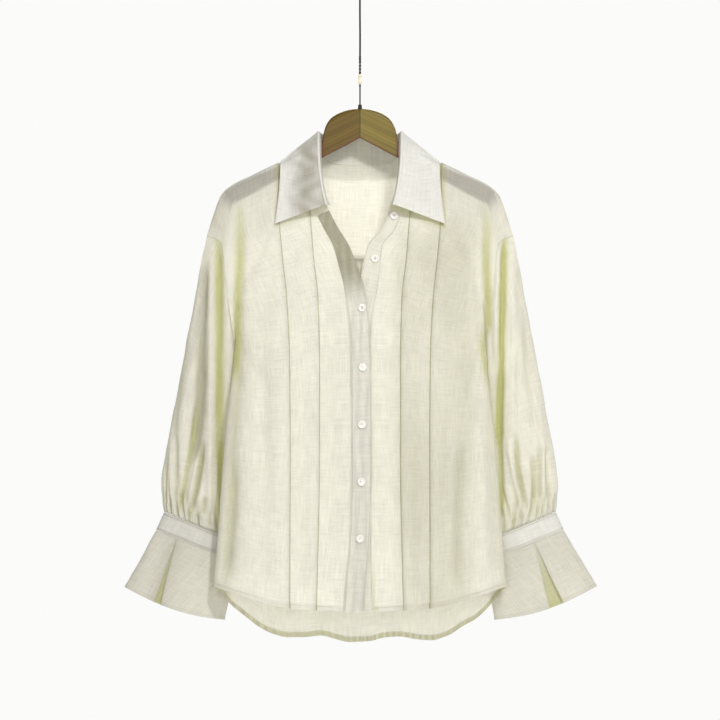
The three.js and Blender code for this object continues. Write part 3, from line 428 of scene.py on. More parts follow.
def yoke_top(reach):
    inside = reach < NECK_X
    y = np.where(inside, look(BACK_NECK, "x", "y", reach), 0.2)
    z = np.where(inside, look(BACK_NECK, "x", "z", reach), shoulder_z(reach))
    return y, z


def yoke_seam_z(x):
    return mix(YOKE_Z, side_z(YOKE_END), ease(x / ARMHOLE_X))


def yoke_depth(x, z):
    reach = np.abs(x)
    top_y, top_z = yoke_top(reach)
    low = yoke_seam_z(np.minimum(reach, ARMHOLE_X))
    down = np.clip((top_z - z) / (top_z - low), 0, 1)
    v = np.clip((SIDE_TOP_Z - z) / (SIDE_TOP_Z - SIDE_HEM_Z), 0, YOKE_END)
    hang = back_depth(x, low, v)
    fall = 1 - (1 - down) ** 3
    rolled = roll_depth(top_z - z) + (hang - HANGER_ROLL) * fall
    return np.where(reach < NECK_X, mix(top_y, hang, fall), rolled)


def surface(side, x, z, v, depth, facing, lift):
    """Points at depth(x, z, v) before or behind the middle plane, moved out by lift."""
    d = 0.5
    y = depth(x, z, v)
    slope_x = (depth(x + d, z, v) - depth(x - d, z, v)) / (2 * d)
    slope_z = (y - depth(x, z - d, v)) / d
    normal = unit(points(-slope_x * side, facing, -slope_z))
    lift = np.broadcast_to(lift, y.shape)
    return points(side * x, facing * y, z) + normal * lift[..., None]


# Columns of a front: top and hem are where a column meets them, x(z, v) its line

def column(top, hem, x, lift=0.0, layers=0.0, tint=0.0):
    return SimpleNamespace(top=top, hem=hem, x=x, lift=lift, layers=layers, tint=tint)


def shifted(line, offset, lift, layers=0.0, tint=0.0):
    return column(
        line.top + offset, line.hem + offset, lambda z, v: line.x(z, v) + offset, lift, layers, tint,
    )


def between(a, b, part, lift=None):
    return column(
        mix(a.top, b.top, part),
        mix(a.hem, b.hem, part),
        lambda z, v: mix(a.x(z, v), b.x(z, v), part),
        mix(a.lift, b.lift, part) if lift is None else lift,
        mix(a.layers, b.layers, part),
        mix(a.tint, b.tint, part),
    )


def line_from(rows, name):
    def x(z, v):
        return look(rows, "z", name, z)
    return column(x(rows["z"][0], 0), x(rows["z"][-1], 1), x)


def knife_fold(line, depth, pitch):
    """A tuck whose edge points to the middle: its folded cloth runs outwards and back."""
    half = pitch / 2
    return [
        shifted(line, depth - half, 0), shifted(line, depth, half), shifted(line, depth - half, pitch),
        # the tan line along the fold's edge is partly three thicknesses of cloth and partly painted shade
        shifted(line, half, pitch, 0.7, 0.4), shifted(line, 0, pitch + half, 0.8, 0.5),
        shifted(line, half, 2 * pitch, 0.55, 0.5), shifted(line, 1.2, 2 * pitch, 0.1),
        shifted(line, 1.9, 2 * pitch),
    ]


def band_column(edge, inner):
    """Inner side of the button band: its width from the edge, short of the inner tuck."""
    def x(z, v):
        width = mix(21, BAND_WIDTH, ease((v - 0.145) / 0.19))
        return np.minimum(edge.x(z, v) + width, inner.x(z, v) - 3)
    return column(inner.top - 3, edge.hem + BAND_WIDTH, x)


def front_columns(side, pitch):
    edge = line_from(INNER, "over" if side < 0 else "under")
    inner = line_from(LINES, "inner")
    outer = line_from(LINES, "outer")
    fold = line_from(LINES, "fold")
    seam = column(SHOULDER_X, HEM_X, lambda z, v: outer_x(v) + 0 * z)
    band = band_column(edge, inner)
    raised = 2 * pitch
    return [
        edge, between(edge, band, 0.5, 0), band,
        *knife_fold(inner, TUCK_DEPTH, pitch), shifted(inner, TUCK_DEPTH + 2, raised),
        between(inner, outer, 0.6, 0.3), *knife_fold(outer, TUCK_DEPTH, pitch),
        shifted(outer, TUCK_DEPTH + 2, raised), between(outer, fold, 0.35, 1.2),
        between(outer, fold, 0.65, 0), shifted(fold, -11, 0), shifted(fold, -5, 0), fold,
        between(fold, seam, 0.3, 0), between(fold, seam, 0.6, 0), between(fold, seam, 0.86, 0),
        between(fold, seam, 0.97, 0), seam,
    ]


def refined(columns, spacing):
    """Columns with more between them, about spacing apart half way down."""
    v = 0.5
    z = -600.0
    fine = []
    for a, b in zip(columns, columns[1:]):
        gap = abs(float(b.x(z, v) - a.x(z, v)))
        count = max(1, round(gap / spacing))
        fine += [between(a, b, i / count) for i in range(count)]
    return [*fine, columns[-1]]


def front_hem_z(x):
    return look(FRONT_HEM, "x", "z", np.abs(x))


def overlap_lift(side, x, z):
    """The right front's edge rises over the left front's band."""
    if side > 0:
        return 0 * x
    return OVERLAP_LIFT * (1 - ease((x - 18) / 30)) * ease((-385 - z) / 55)


def front_lines(side, columns, rows):
    """(x, z, v, lift, layers, tint) grids of columns at rows down the front."""
    v = rows[:, None]
    top, hem, lift, layers, tint = (
        np.array([[float(getattr(c, part)) for c in columns]])
        for part in ("top", "hem", "lift", "layers", "tint")
    )
    z = mix(shoulder_z(top), front_hem_z(hem), v)
    x = np.stack([c.x(z[:, i], v[:, 0]) for i, c in enumerate(columns)], axis=1)
    x = x + (top - x[:1]) * (1 - ease(v / SETTLE))
    return x, z, v + 0 * x, lift + overlap_lift(side, x, z), layers + 0 * x, tint + 0 * x


def front_creases(side, x, z, v, strength):
    """(height, glow) of a front's drape, which dies out at its sewn edges."""
    rows = FRONT_RIGHT_CREASES if side < 0 else FRONT_LEFT_CREASES
    height, glow = creased(x, z, rows)
    open_cloth = ease((shoulder_z(np.abs(x)) - z - 12) / 60)
    seam = ease((outer_x(v) - np.abs(x)) / 14)
    tight = ease((x - 14) / 26)
    height = height + waves(x, z, 0.9, 11 + side) * ease((-480 - z) / 300)
    height = height + rumpled(x, z, 0.28, 21 + side)
    beyond = 9 if side > 0 else 0
    fold = look(FRONT, "z", "fold", z) * bell(np.abs(x) - beyond - look(LINES, "z", "fold", z), 11) / 13
    beside = bell(np.abs(x) - outer_x(v) + 7, 9) * ease((-520 - z) / 40) * ease((z + 620) / 40)
    glow = np.clip(glow + 0.9 * fold + 0.7 * beside, 0, 1)
    return height * strength * open_cloth * seam * mix(0.35, 1, tight), glow


def valley(height, depth):
    """Share of shade that a crease holds, from its height under the cloth around it."""
    return np.clip(-height / depth, 0, 1)


def front_points(side, columns, rows, strength, extra=0.0):
    """(points, layers, glow) of a front's cloth, or of what lies on it."""
    x, z, v, lift, layers, tint = front_lines(side, columns, rows)
    height, glow = front_creases(side, x, z, v, strength)
    glow = np.maximum(glow, tint)
    # painted shade in the crease valleys
    layers = layers + 0.34 * valley(height + 0.8, 6)
    grid = surface(side, x, z, v, front_depth, -1, lift + height + extra)
    return grid, layers, glow


FRONT_ROWS = np.concatenate([
    graded(0, 0.05, 16, 1.6)[:-1], graded(0.05, HEM_START, 150)[:-1], graded(HEM_START, 1, 12),
])
BAND_ROWS = np.concatenate([graded(BAND_TOP, HEM_START, 190)[:-1], graded(HEM_START, 1, 10)])


# Meshes

def grid_normals(grid, closed=False):
    """Outward directions of a grid of points; closed joins its last column to the first."""
    if closed:
        wide = np.concatenate([grid[:, -1:], grid, grid[:, :1]], axis=1)
        across = unit(wide[:, 1:-1] - wide[:, :-2]) + unit(wide[:, 2:] - wide[:, 1:-1])
    else:
        step = unit(np.diff(grid, axis=1))
        across = np.concatenate([step[:, :1], step[:, :-1] + step[:, 1:], step[:, -1:]], axis=1)
    step = unit(np.diff(grid, axis=0))
    down = np.concatenate([step[:1], step[:-1] + step[1:], step[-1:]], axis=0)
    return unit(np.cross(across, down))


def square(normals, direction):
    """Keeps an edge's end face square to a direction."""
    direction = np.array(direction, dtype=float)
    flat = normals - (normals @ direction)[..., None] * direction
    normals[...] = unit(flat)


def cloth_places(grid, closed, start):
    """Thread coordinates of a grid in metres: u across from the start column, v down."""
    if closed:
        grid = np.concatenate([grid, grid[:, :1]], axis=1)
    across = np.linalg.norm(np.diff(grid, axis=1), axis=-1)
    u = np.concatenate([np.zeros((len(grid), 1)), np.cumsum(across, axis=1)], axis=1)
    u = u - u[:, start:start + 1]
    down = np.linalg.norm(np.diff(grid, axis=0), axis=-1)
    v = np.concatenate([np.zeros((1, grid.shape[1])), np.cumsum(down, axis=0)], axis=0)
    v = np.broadcast_to(v.mean(axis=1, keepdims=True), u.shape)
    return np.stack([u, v], axis=-1) * MM


def shell(name, grid, thickness, closed=False, normals=None, start=0, layers=0.0, glow=0.0):
    """Closed thin solid through a grid of points, with its thread map and its attributes for cloth on
    cloth, painted shade and glow.
    """
    rows, columns = grid.shape[:2]
    normals = grid_normals(grid, closed) if normals is None else normals
    half = np.broadcast_to(np.asarray(thickness) / 2, (rows, columns))[..., None]
    outer = grid + normals * half
    inner = grid - normals * half
    places = np.concatenate([outer.reshape(-1, 3), inner.reshape(-1, 3)]) * MM
    count = rows * columns
    cells = columns if closed else columns - 1
    i, j = np.meshgrid(np.arange(rows - 1), np.arange(cells), indexing="ij")
    i, j = i.ravel(), j.ravel()
    cloth = cloth_places(grid, closed, start)
    around = [(i, j), (i, j + 1), (i + 1, j + 1), (i + 1, j)]
    face = np.stack([r * columns + q % columns for r, q in around], 1)
    spread = np.stack([cloth[spot] for spot in around], 1)
    faces = [face, face[:, ::-1] + count]
    maps = [spread, spread[:, ::-1]]
    q, r = np.arange(cells), np.arange(rows - 1)
    strips = [(0 * q, q, 0, 1, False), (0 * q + rows - 1, q, 0, 1, True)]
    if not closed:
        strips += [(r, 0 * r, 1, 0, True), (r, 0 * r + columns - 1, 1, 0, False)]
    for r, q, down, along_row, turned in strips:
        spots = [(r, q), (r + down, q + along_row)]
        low, high = (a * columns + b % columns for a, b in spots)
        ring = np.stack([low + count, high + count, high, low], 1)
        edge = np.stack([cloth[spot] for spot in (*spots, *spots[::-1])], 1)
        faces.append(ring[:, ::-1] if turned else ring)
        maps.append(edge[:, ::-1] if turned else edge)
    faces = np.concatenate(faces)
    maps = np.concatenate(maps)
    corner = places[faces]
    volume = np.einsum("ij,ij->", corner[:, 0], np.cross(corner[:, 1], corner[:, 2]))
    volume += np.einsum("ij,ij->", corner[:, 0], np.cross(corner[:, 2], corner[:, 3]))
    if volume < 0:
        faces = faces[:, ::-1]
        maps = maps[:, ::-1]
    mesh = mesh_from(name, places, faces)
    layer = mesh.uv_layers.new(name="threads")
    layer.uv.foreach_set("vector", np.ascontiguousarray(maps, dtype=np.float32).ravel())
    for kind, value in (("layers", layers), ("glow", glow)):
        both = np.broadcast_to(value, (rows, columns)).ravel()
        made = mesh.attributes.new(kind, "FLOAT", "POINT")
        made.data.foreach_set("value", np.concatenate([both, both]).astype(np.float32))
    return bpy.data.objects.new(name, mesh)


def mesh_from(name, places, faces, sharp=50.0):
    """Smooth-shaded mesh from vertex places in metres and faces of equal size."""
    mesh = bpy.data.meshes.new(name)
    size = faces.shape[1]
    mesh.vertices.add(len(places))
    mesh.vertices.foreach_set("co", np.ascontiguousarray(places, dtype=np.float32).ravel())
    mesh.loops.add(faces.size)
    mesh.loops.foreach_set("vertex_index", faces.astype(np.int32).ravel())
    mesh.polygons.add(len(faces))
    mesh.polygons.foreach_set("loop_start", np.arange(0, faces.size, size, dtype=np.int32))
    mesh.update(calc_edges=True)
    mesh.validate()
    mesh.polygons.foreach_set("use_smooth", np.ones(len(mesh.polygons), dtype=bool))
    mesh.set_sharp_from_angle(angle=math.radians(sharp))
    return mesh


def ring_quads(rings, sides, closed=False):
    """Faces between rings of points that follow each other, the last joined to the first if closed."""
    i, j = np.meshgrid(np.arange(rings if closed else rings - 1), np.arange(sides), indexing="ij")
    i, j = i.ravel(), j.ravel()
    k, n = (i + 1) % rings, (j + 1) % sides
    return np.stack([i * sides + j, i * sides + n, k * sides + n, k * sides + j], 1)


def tube(path, radius, sides=10, closed=False):
    """(places, quads) of a round wire along a path, in millimetres."""
    path = np.asarray(path, dtype=float)
    ahead = np.roll(path, -1, axis=0) if closed else np.concatenate([path[1:], path[-1:]])
    behind = np.roll(path, 1, axis=0) if closed else np.concatenate([path[:1], path[:-1]])
    tangent = unit(ahead - behind)
    across = np.zeros_like(path)
    guide = np.array([0.0, 1.0, 0.0]) if abs(tangent[0][1]) < 0.9 else np.array([1.0, 0.0, 0.0])
    for i, direction in enumerate(tangent):
        guide = guide - direction * (guide @ direction)
        guide = guide / np.linalg.norm(guide)
        across[i] = guide
    other = np.cross(tangent, across)
    angle = np.linspace(0, 2 * math.pi, sides, endpoint=False)
    radius = np.broadcast_to(radius, len(path))[:, None, None]
    ring = across[:, None] * np.cos(angle)[None, :, None] + other[:, None] * np.sin(angle)[None, :, None]
    places = (path[:, None] + ring * radius).reshape(-1, 3)
    return places, ring_quads(len(path), sides, closed)


def capped_tube(path, radius, sides=10):
    """A tube whose ends close in small domes."""
    path = np.asarray(path, dtype=float)
    radius = np.broadcast_to(radius, len(path)).astype(float)
    first = unit(path[0] - path[1]) * radius[0]
    last = unit(path[-1] - path[-2]) * radius[-1]
    path = np.concatenate([
        [path[0] + first, path[0] + first * 0.7], path, [path[-1] + last * 0.7, path[-1] + last],
    ])
    dome = np.array([0.02, 0.7])
    radius = np.concatenate([dome * radius[0], radius, dome[::-1] * radius[-1]])
    places, quads = tube(path, radius, sides)
    ends = []
    for start, turned in ((0, False), (len(places) - sides, True)):
        for j in range(1, sides - 1, 2):
            k = min(j + 2, sides - 1)
            quad = [start, start + j, start + j + 1, start + k]
            ends.append(quad if turned else quad[::-1])
    return places, np.concatenate([quads, np.array(ends)])


def joined(parts):
    """One set of places and faces from several."""
    places, faces, total = [], [], 0
    for part_places, part_faces in parts:
        places.append(part_places)
        faces.append(part_faces + total)
        total += len(part_places)
    return np.concatenate(places), np.concatenate(faces)


def stitches(path, normals, pitch, length, radius):
    """(places, quads) of a row of thread stitches lying on a path, sunk a little at their ends."""
    path = np.asarray(path, dtype=float)
    step = np.linalg.norm(np.diff(path, axis=0), axis=1)
    travel = np.concatenate([[0], np.cumsum(step)])
    count = int(travel[-1] // pitch)
    begin = (np.arange(count) + 0.5) * travel[-1] / count - length / 2
    parts = np.array([0.0, 0.22, 0.5, 0.78, 1.0])
    high = np.array([-0.15, 0.55, 0.8, 0.55, -0.15]) * radius
    wide = np.array([0.35, 0.9, 1.0, 0.9, 0.35]) * radius
    at = begin[:, None] + parts[None, :] * length
    place = np.stack([np.interp(at, travel, path[:, i]) for i in range(3)], axis=-1)
    up = unit(np.stack([np.interp(at, travel, normals[:, i]) for i in range(3)], axis=-1))
    ahead = unit(place[:, -1] - place[:, 0])[:, None]
    across = unit(np.cross(up, np.broadcast_to(ahead, up.shape)))
    sides = 6
    angle = np.linspace(0, 2 * math.pi, sides, endpoint=False)
    ring = (
        across[:, :, None] * np.cos(angle)[None, None, :, None]
        + up[:, :, None] * np.sin(angle)[None, None, :, None]
    )
    places = place[:, :, None] + up[:, :, None] * high[None, :, None, None]
    places = places + ring * wide[None, :, None, None]
    rings = len(parts)
    body = ring_quads(rings, sides)[:, ::-1]
    ends = np.array([[0, 1, 2, 3], [0, 3, 4, 5]])
    one = np.concatenate([body, ends, ends[:, ::-1] + (rings - 1) * sides])
    offset = np.arange(count)[:, None, None] * (rings * sides)
    return places.reshape(-1, 3), (one[None] + offset).reshape(-1, 4)


def thread_piece(name, rows):
    """One object of all the given threads."""
    places, quads = joined(rows)
    return bpy.data.objects.new(name, mesh_from(name, places * MM, quads, 80))


def place(obj, finish, *nodes):
    """Links a piece, gives it its material, lets it ride on the root body and hides the parts for the nodes
    it stands for.
    """
    bpy.context.scene.collection.objects.link(obj)
    obj.data.materials.append(materials()[finish])
    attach(obj, "root")
    if nodes:
        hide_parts(*nodes)
    return obj


# Cloth

def front(side, name, size):
    columns = refined(front_columns(side, size.layer_pitch), 4.2)
    grid, layers, glow = front_points(side, columns, FRONT_ROWS, size.creases)
    shade, tint = front_shades(side, grid)
    layers = layers + shade
    glow = np.clip(glow + tint, 0, 1)
    normals = grid_normals(grid)
    square(normals[0], (0, 1, 0))
    hem = hem_share(FRONT_ROWS)[:, None]
    layers = np.clip(layers + 0.12 * hem, 0, 1)
    thickness = size.cloth + hem * 0.5 + 0 * layers
    grid = grid + normals * (puckers(grid, 5, 0.25) * hem)[..., None]
    return shell(f"cloth_{name}", grid, thickness, normals=normals, layers=layers, glow=glow)


def hanger_shade(x, z):
    """Painted shade where the hanger's arm shows dark through the cloth that lies on it."""
    inside = ease((z - look(ARM_LOW, "x", "z", x) + 1.5) / 4) * ease((shoulder_z(x) - 2.5 - z) / 3)
    return 0.5 * inside * ease((206 - x) / 8) * ease((x - 60) / 10)


def collar_shade(x, z):
    """Narrow shade on the cloth just below the collar's leaf."""
    leaf = -344 - (x - 49) * 0.357
    return ease((z - leaf + 13) / 9) * ease((x - 40) / 8) * ease((130 - x) / 4)


def front_shades(side, grid):
    """(layers, glow) of painted shade over a front: the hanger's arm seen through the cloth, the collar's
    shadow and broad shades over the panel.
    """
    x, z = grid[..., 0] * side, grid[..., 2]
    # uneven strength of the painted shade below
    shade_mottle = 0.55 + 0.12 * np.sin(x / 21 + z / 90) + 0.1 * np.sin(z / 47 - x / 60)
    # painted shade: the hanger's arm seen dark through the cloth, and a soft shade high on the outer chest
    layers = hanger_shade(x, z) + 0.16 * ease((z + 430) / 70) * ease((x - 118) / 20)
    under = collar_shade(x, z)
    if side < 0:
        # painted shade at the shoulder's outer corner, and a little of the collar's painted shadow
        layers = layers + 0.2 * ease((x - 196) / 16) * ease((z + 400) / 30) + 0.1 * under
        # the turned facing at the V: partly cloth lying on cloth, partly painted shade
        facing = ease((44 + 0.52 * (z + 318) - x) / 4) * ease((z + 368) / 6)
        # painted shade near the side seam, mottled
        side_shade = ease((x - 184) / 16) * ease((-500 - z) / 90) * ease((z + 830) / 90)
        return layers + 0.9 * facing + 0.16 * side_shade * shade_mottle, 0.15 * facing + 0.2 * under
    # broad painted shade over this panel, warmed by a little glow, with the collar's painted shadow
    across = ease((x - 40) / 30) * ease((186 - x) / 30) * shade_mottle * ease((-330 - z) / 90)
    layers = layers + 0.42 * across + 0.12 * under
    # painted shade, tinted yellow, beside the over band below the last button
    wedge = ease((-835 - z) / 15) * ease((mix(14, 24, (-838 - z) / 86) - x) / 3)
    return layers, 0.14 * across + 0.45 * under + 0.4 * wedge


def hem_share(rows):
    """1 over the rolled hem at the end of the rows, 0 above it."""
    return ease((rows - HEM_START) / (1 - HEM_START) * 3)


def puckers(grid, pitch, depth):
    """Short waves along a grid's last edge, from its stitches."""
    step = np.linalg.norm(np.diff(grid[-1], axis=0), axis=1)
    travel = np.concatenate([[0], np.cumsum(step)])
    wave = np.sin(2 * math.pi * travel / pitch) + 0.7 * np.sin(2 * math.pi * travel / pitch / 1.7)
    return depth * wave[None, :]


def button_band(side, name, size):
    edge = line_from(INNER, "over" if side < 0 else "under")
    band = band_column(edge, line_from(LINES, "inner"))
    columns = refined([edge, between(edge, band, 0.03), between(edge, band, 0.97), band], 1.6)
    grid, _, glow = front_points(side, columns, BAND_ROWS, size.creases, size.cloth / 2 + BAND_LIFT)
    from_middle = np.abs(np.linspace(0, 1, grid.shape[1])[None, :] - 0.5)
    ridge = ease((from_middle - 0.44) / 0.03) * (1 - ease((from_middle - 0.48) / 0.02))
    normals = grid_normals(grid)
    grid = grid - normals * (0.25 * ridge)[..., None]
    edges = 0.35 * (from_middle > 0.47)
    layers = 0.02 + edges * 0.5 + 0 * glow
    glow = 0.2 * glow
    # wearer's right band: the part above the top button, turned open, is partly cloth on cloth and partly
    # painted shade, and painted wrinkle shade mottles it
    if side < 0:
        opened = 1 - ease((BAND_ROWS[:, None] - 0.26) / 0.08)
        wrinkle_shade = 0.12 * np.sin(grid[..., 0] / 2.1 + np.sin(grid[..., 2] / 23)) * np.sin(grid[..., 2] / 31)
        layers = np.clip(0.06 + 0.84 * opened + wrinkle_shade + edges, 0, 1)
        glow = glow + 0.15 * opened
    return shell(f"band_{name}", grid, size.double * 0.85, normals=normals, layers=layers, glow=glow)


YOKE_REACH = np.concatenate([
    np.linspace(0, 54, 26), [55.5, 56.7, 57.6, 58.3, 58.9, 59.4, 59.7, 60, 61, 62.5, 65, 69],
    np.linspace(73, 200, 32), np.linspace(203, SHOULDER_X, 16),
])
YOKE_ROWS = np.concatenate([graded(0, 0.2, 22, 1.7)[:-1], graded(0.2, 1, 46)]) * YOKE_END


def back_yoke(size):
    reach = YOKE_REACH[None, :]
    v = YOKE_ROWS[:, None]
    edge = outer_x(v)
    x = mix(reach, reach * edge / SHOULDER_X, (reach / SHOULDER_X) ** 3)
    top_y, top_z = yoke_top(reach)
    down = v / YOKE_END
    z = mix(top_z, yoke_seam_z(x), down)
    fall = 1 - (1 - down) ** 3
    hang = back_depth(x, z, v + 0 * x)
    roll = (roll_depth(top_z - z) - HANGER_ROLL * fall) * (1 - down)
    y = np.where(reach < NECK_X, mix(top_y, hang, fall), roll + hang * fall)
    sewn = ease((reach - 222) / (SHOULDER_X - 222))
    y = mix(y, outer_y(v), sewn)
    z = mix(z, side_z(v), sewn)
    sides = []
    for side in (-1, 1):
        height = waves(side * x, z, 0.5, 5) + rumpled(side * x, z, 0.3, 6)
        height = height * ease(down * 5) * ease((1 - down) * 6) * ease((edge - x) / 20) * size.creases
        sides.append(points(side * x, y + height, z))
    grid = np.concatenate([sides[0][:, :0:-1], sides[1]], axis=1)
    normals = grid_normals(grid)
    neck = len(YOKE_REACH) - 1
    for j in range(grid.shape[1]):
        if abs(j - neck) >= np.searchsorted(YOKE_REACH, NECK_X):
            square(normals[:1, j], (0, 1, 0))
    square(normals[-1], (0, 0, 1))
    layers = 0.02 + 0.4 * ease((down - 0.95) / 0.03) + 0 * grid[..., 0]
    return shell("cloth_back_yoke", grid, size.double * 0.75, normals=normals, start=neck, layers=layers)


def pleat_stations(pitch):
    """Half of the back from the middle: (fixed, part, lift), at fixed + part of the half width."""
    turn = pitch / 2
    folded = [
        (1.6, 0, 0), (0.6, 0, turn), (1.6, 0, pitch), (BACK_PLEAT - turn, 0, pitch),
        (BACK_PLEAT, 0, pitch + turn), (BACK_PLEAT - turn, 0, 2 * pitch),
    ]
    spread = [(0, part, 0) for part in (0.12, 0.25, 0.4, 0.55, 0.7, 0.82, 0.91, 0.97, 1)]
    stations = np.array(folded[::-1] + spread)
    fine = []
    for a, b in zip(stations, stations[1:]):
        gap = math.hypot(b[0] - a[0] + (b[1] - a[1]) * HALF_BACK, b[2] - a[2])
        count = max(1, round(gap / 3.4))
        fine += [mix(a, b, i / count) for i in range(count)]
    return np.array([*fine, stations[-1]])


BACK_ROWS = np.concatenate([graded(YOKE_END, HEM_START, 170)[:-1], graded(HEM_START, 1, 12)])


def back(size):
    stations = pleat_stations(size.layer_pitch)
    v = BACK_ROWS[:, None]
    edge = outer_x(v)
    down = (v - YOKE_END) / (1 - YOKE_END)
    halves, glows = [], []
    for side, name in SIDES:
        closed = 1 - ease((down - 0.3) / 0.6)
        folded = stations[:, 0][None, :] + stations[:, 1][None, :] * edge
        first = np.searchsorted(stations[:, 1], 0.12)
        flat = np.minimum(np.arange(len(stations)) / first, 1) * 0.12
        x = mix(np.maximum(flat, stations[:, 1])[None, :] * edge, folded, closed)
        hem = look(BACK_HEM, "x", name, x / edge * HEM_X)
        z = mix(yoke_seam_z(np.minimum(x, ARMHOLE_X)) - SEWN, hem, down)
        z = mix(z, side_z(v) - SEWN * (down == 0), ease((stations[:, 1][None, :] - 0.985) / 0.015))
        height, glow = creased(side * x, z, BACK_CREASES)
        height = height + waves(side * x, z, 1.6, 31) * ease((-500 - z) / 260)
        height = (height + rumpled(side * x, z, 0.3, 33)) * ease(down * 7) * ease((edge - x) / 16)
        lift = stations[:, 2][None, :] * closed + height * size.creases
        halves.append(surface(side, x, z, v + 0 * x, back_depth, 1, lift))
        glows.append(glow)
    grid = np.concatenate([halves[0][:, ::-1], halves[1]], axis=1)
    glow = np.concatenate([glows[0][:, ::-1], glows[1]], axis=1)
    normals = grid_normals(grid)
    square(normals[0], (0, 0, 1))
    hem = hem_share(BACK_ROWS)[:, None]
    grid = grid + normals * (puckers(grid, 6, 0.4) * hem)[..., None]
    seam = 1 - ease(down * 60)
    # the rolled hem is cloth on cloth; painted shade follows its puckers along it
    pucker_shade = 0.5 + 0.5 * puckers(grid, 6, 1) * ease(np.sin(grid[-1:, :, 0] / 34) + 0.8)
    layers = np.clip(hem * (0.25 + 0.45 * pucker_shade) + 0.7 * seam, 0, 1) + 0 * glow
    glow = np.clip(glow + 0.35 * hem, 0, 1)
    thickness = size.cloth + hem * 0.7 + 0 * glow
    start = len(stations)
    return shell("cloth_back", grid, thickness, normals=normals, start=start, layers=layers, glow=glow)


def armhole_half(facing):
    """Half of the armhole as the panels' edges draw it: before or behind the middle plane."""
    v = np.concatenate([graded(0, YOKE_END, 24, 1.8)[:-1], graded(YOKE_END, UNDERARM, 30)])
    return points(outer_x(v), facing * outer_y(v), side_z(v))


def along(path, part):
    """Points at shares of a path's length."""
    travel = np.concatenate([[0], np.cumsum(np.linalg.norm(np.diff(path, axis=0), axis=1))])
    at = np.asarray(part) * travel[-1]
    return np.stack([np.interp(at, travel, path[:, i]) for i in range(3)], axis=-1)


def gathered(t, k, seed):
    """(height, glow) of the uneven pleats that run up the sleeve from the cuff's seam."""
    rng = np.random.default_rng(seed)
    height = np.zeros(np.broadcast(t, k).shape)
    glow = np.zeros_like(height)
    pleats = 30
    places = (np.arange(pleats) + rng.uniform(-0.3, 0.3, pleats)) / pleats
    for place_k in places:
        reach = rng.uniform(0.05, 0.2) if rng.uniform() < 0.7 else rng.uniform(0.2, 0.32)
        width = rng.uniform(0.0055, 0.009)
        size = rng.uniform(3.4, 6.4)
        lean = rng.uniform(-0.12, 0.12)
        away = np.abs((k - place_k - lean * (1 - t) + 0.5) % 1 - 0.5)
        rise = ease((t - 1 + reach) / reach) * mix(1, 0.5, ease((t - 0.965) / 0.035))
        spread = mix(2.2, 1, ease((t - 1 + reach) / reach))
        valley = np.exp(-(away / (width * spread)) ** 2) * rise
        height -= size * valley
        glow += 0.5 * valley
    fine = 58
    phase = 2 * math.pi * (k * fine + 0.4 * np.sin(2 * math.pi * k * 9))
    height += 0.9 * np.cos(phase) * ease((t - 0.94) / 0.04)
    return height + 1.4 * ease((t - 0.75) / 0.15) * (1 - ease((t - 0.9) / 0.1)), glow


SLEEVE_ROWS = np.concatenate([
    graded(0, 0.05, 10, 1.4)[:-1], graded(0.05, 0.7, 58)[:-1], graded(0.7, 1, 56),
])
SLEEVE_COLUMNS = 236


def sleeve_form(t, k):
    """Points of the plain sleeve at t down and k round it: 0 outer, 0.25 front, 0.5 inner."""
    row = {name: look(SLEEVE, "t", name, t) for name in SLEEVE}
    round_part = np.where(k <= 0.5, k * 2, 2 - k * 2)
    hole = np.where(
        (k <= 0.5)[..., None],
        along(armhole_half(-1), round_part),
        along(armhole_half(1), round_part),
    )
    out = points(row["out_x"] - SHOULDER_X, 0, row["out_z"] - SIDE_TOP_Z)
    inner = points(row["in_x"] - outer_x(UNDERARM), 0, row["in_z"] - side_z(UNDERARM))
    hole = hole + mix(out, inner, ease(round_part)[..., None])
    hole[..., 0] += np.where(t == 0, 0.3 * np.sin(round_part * math.pi), 0)
    angle = 2 * math.pi * k
    across = (1 - np.cos(angle)) / 2
    broad = 1.6 * ease(t * 4) * (1 - ease((t - 0.8) / 0.2)) * np.sin(7 * angle + 3 * t) * np.sin(angle)
    ring = points(
        mix(row["out_x"], row["in_x"], across) + broad * np.cos(angle),
        row["y"] - (row["half"] + broad) * np.sin(angle),
        mix(row["out_z"], row["in_z"], across),
    )
    return mix(hole, ring, ease(row["free"])[..., None])


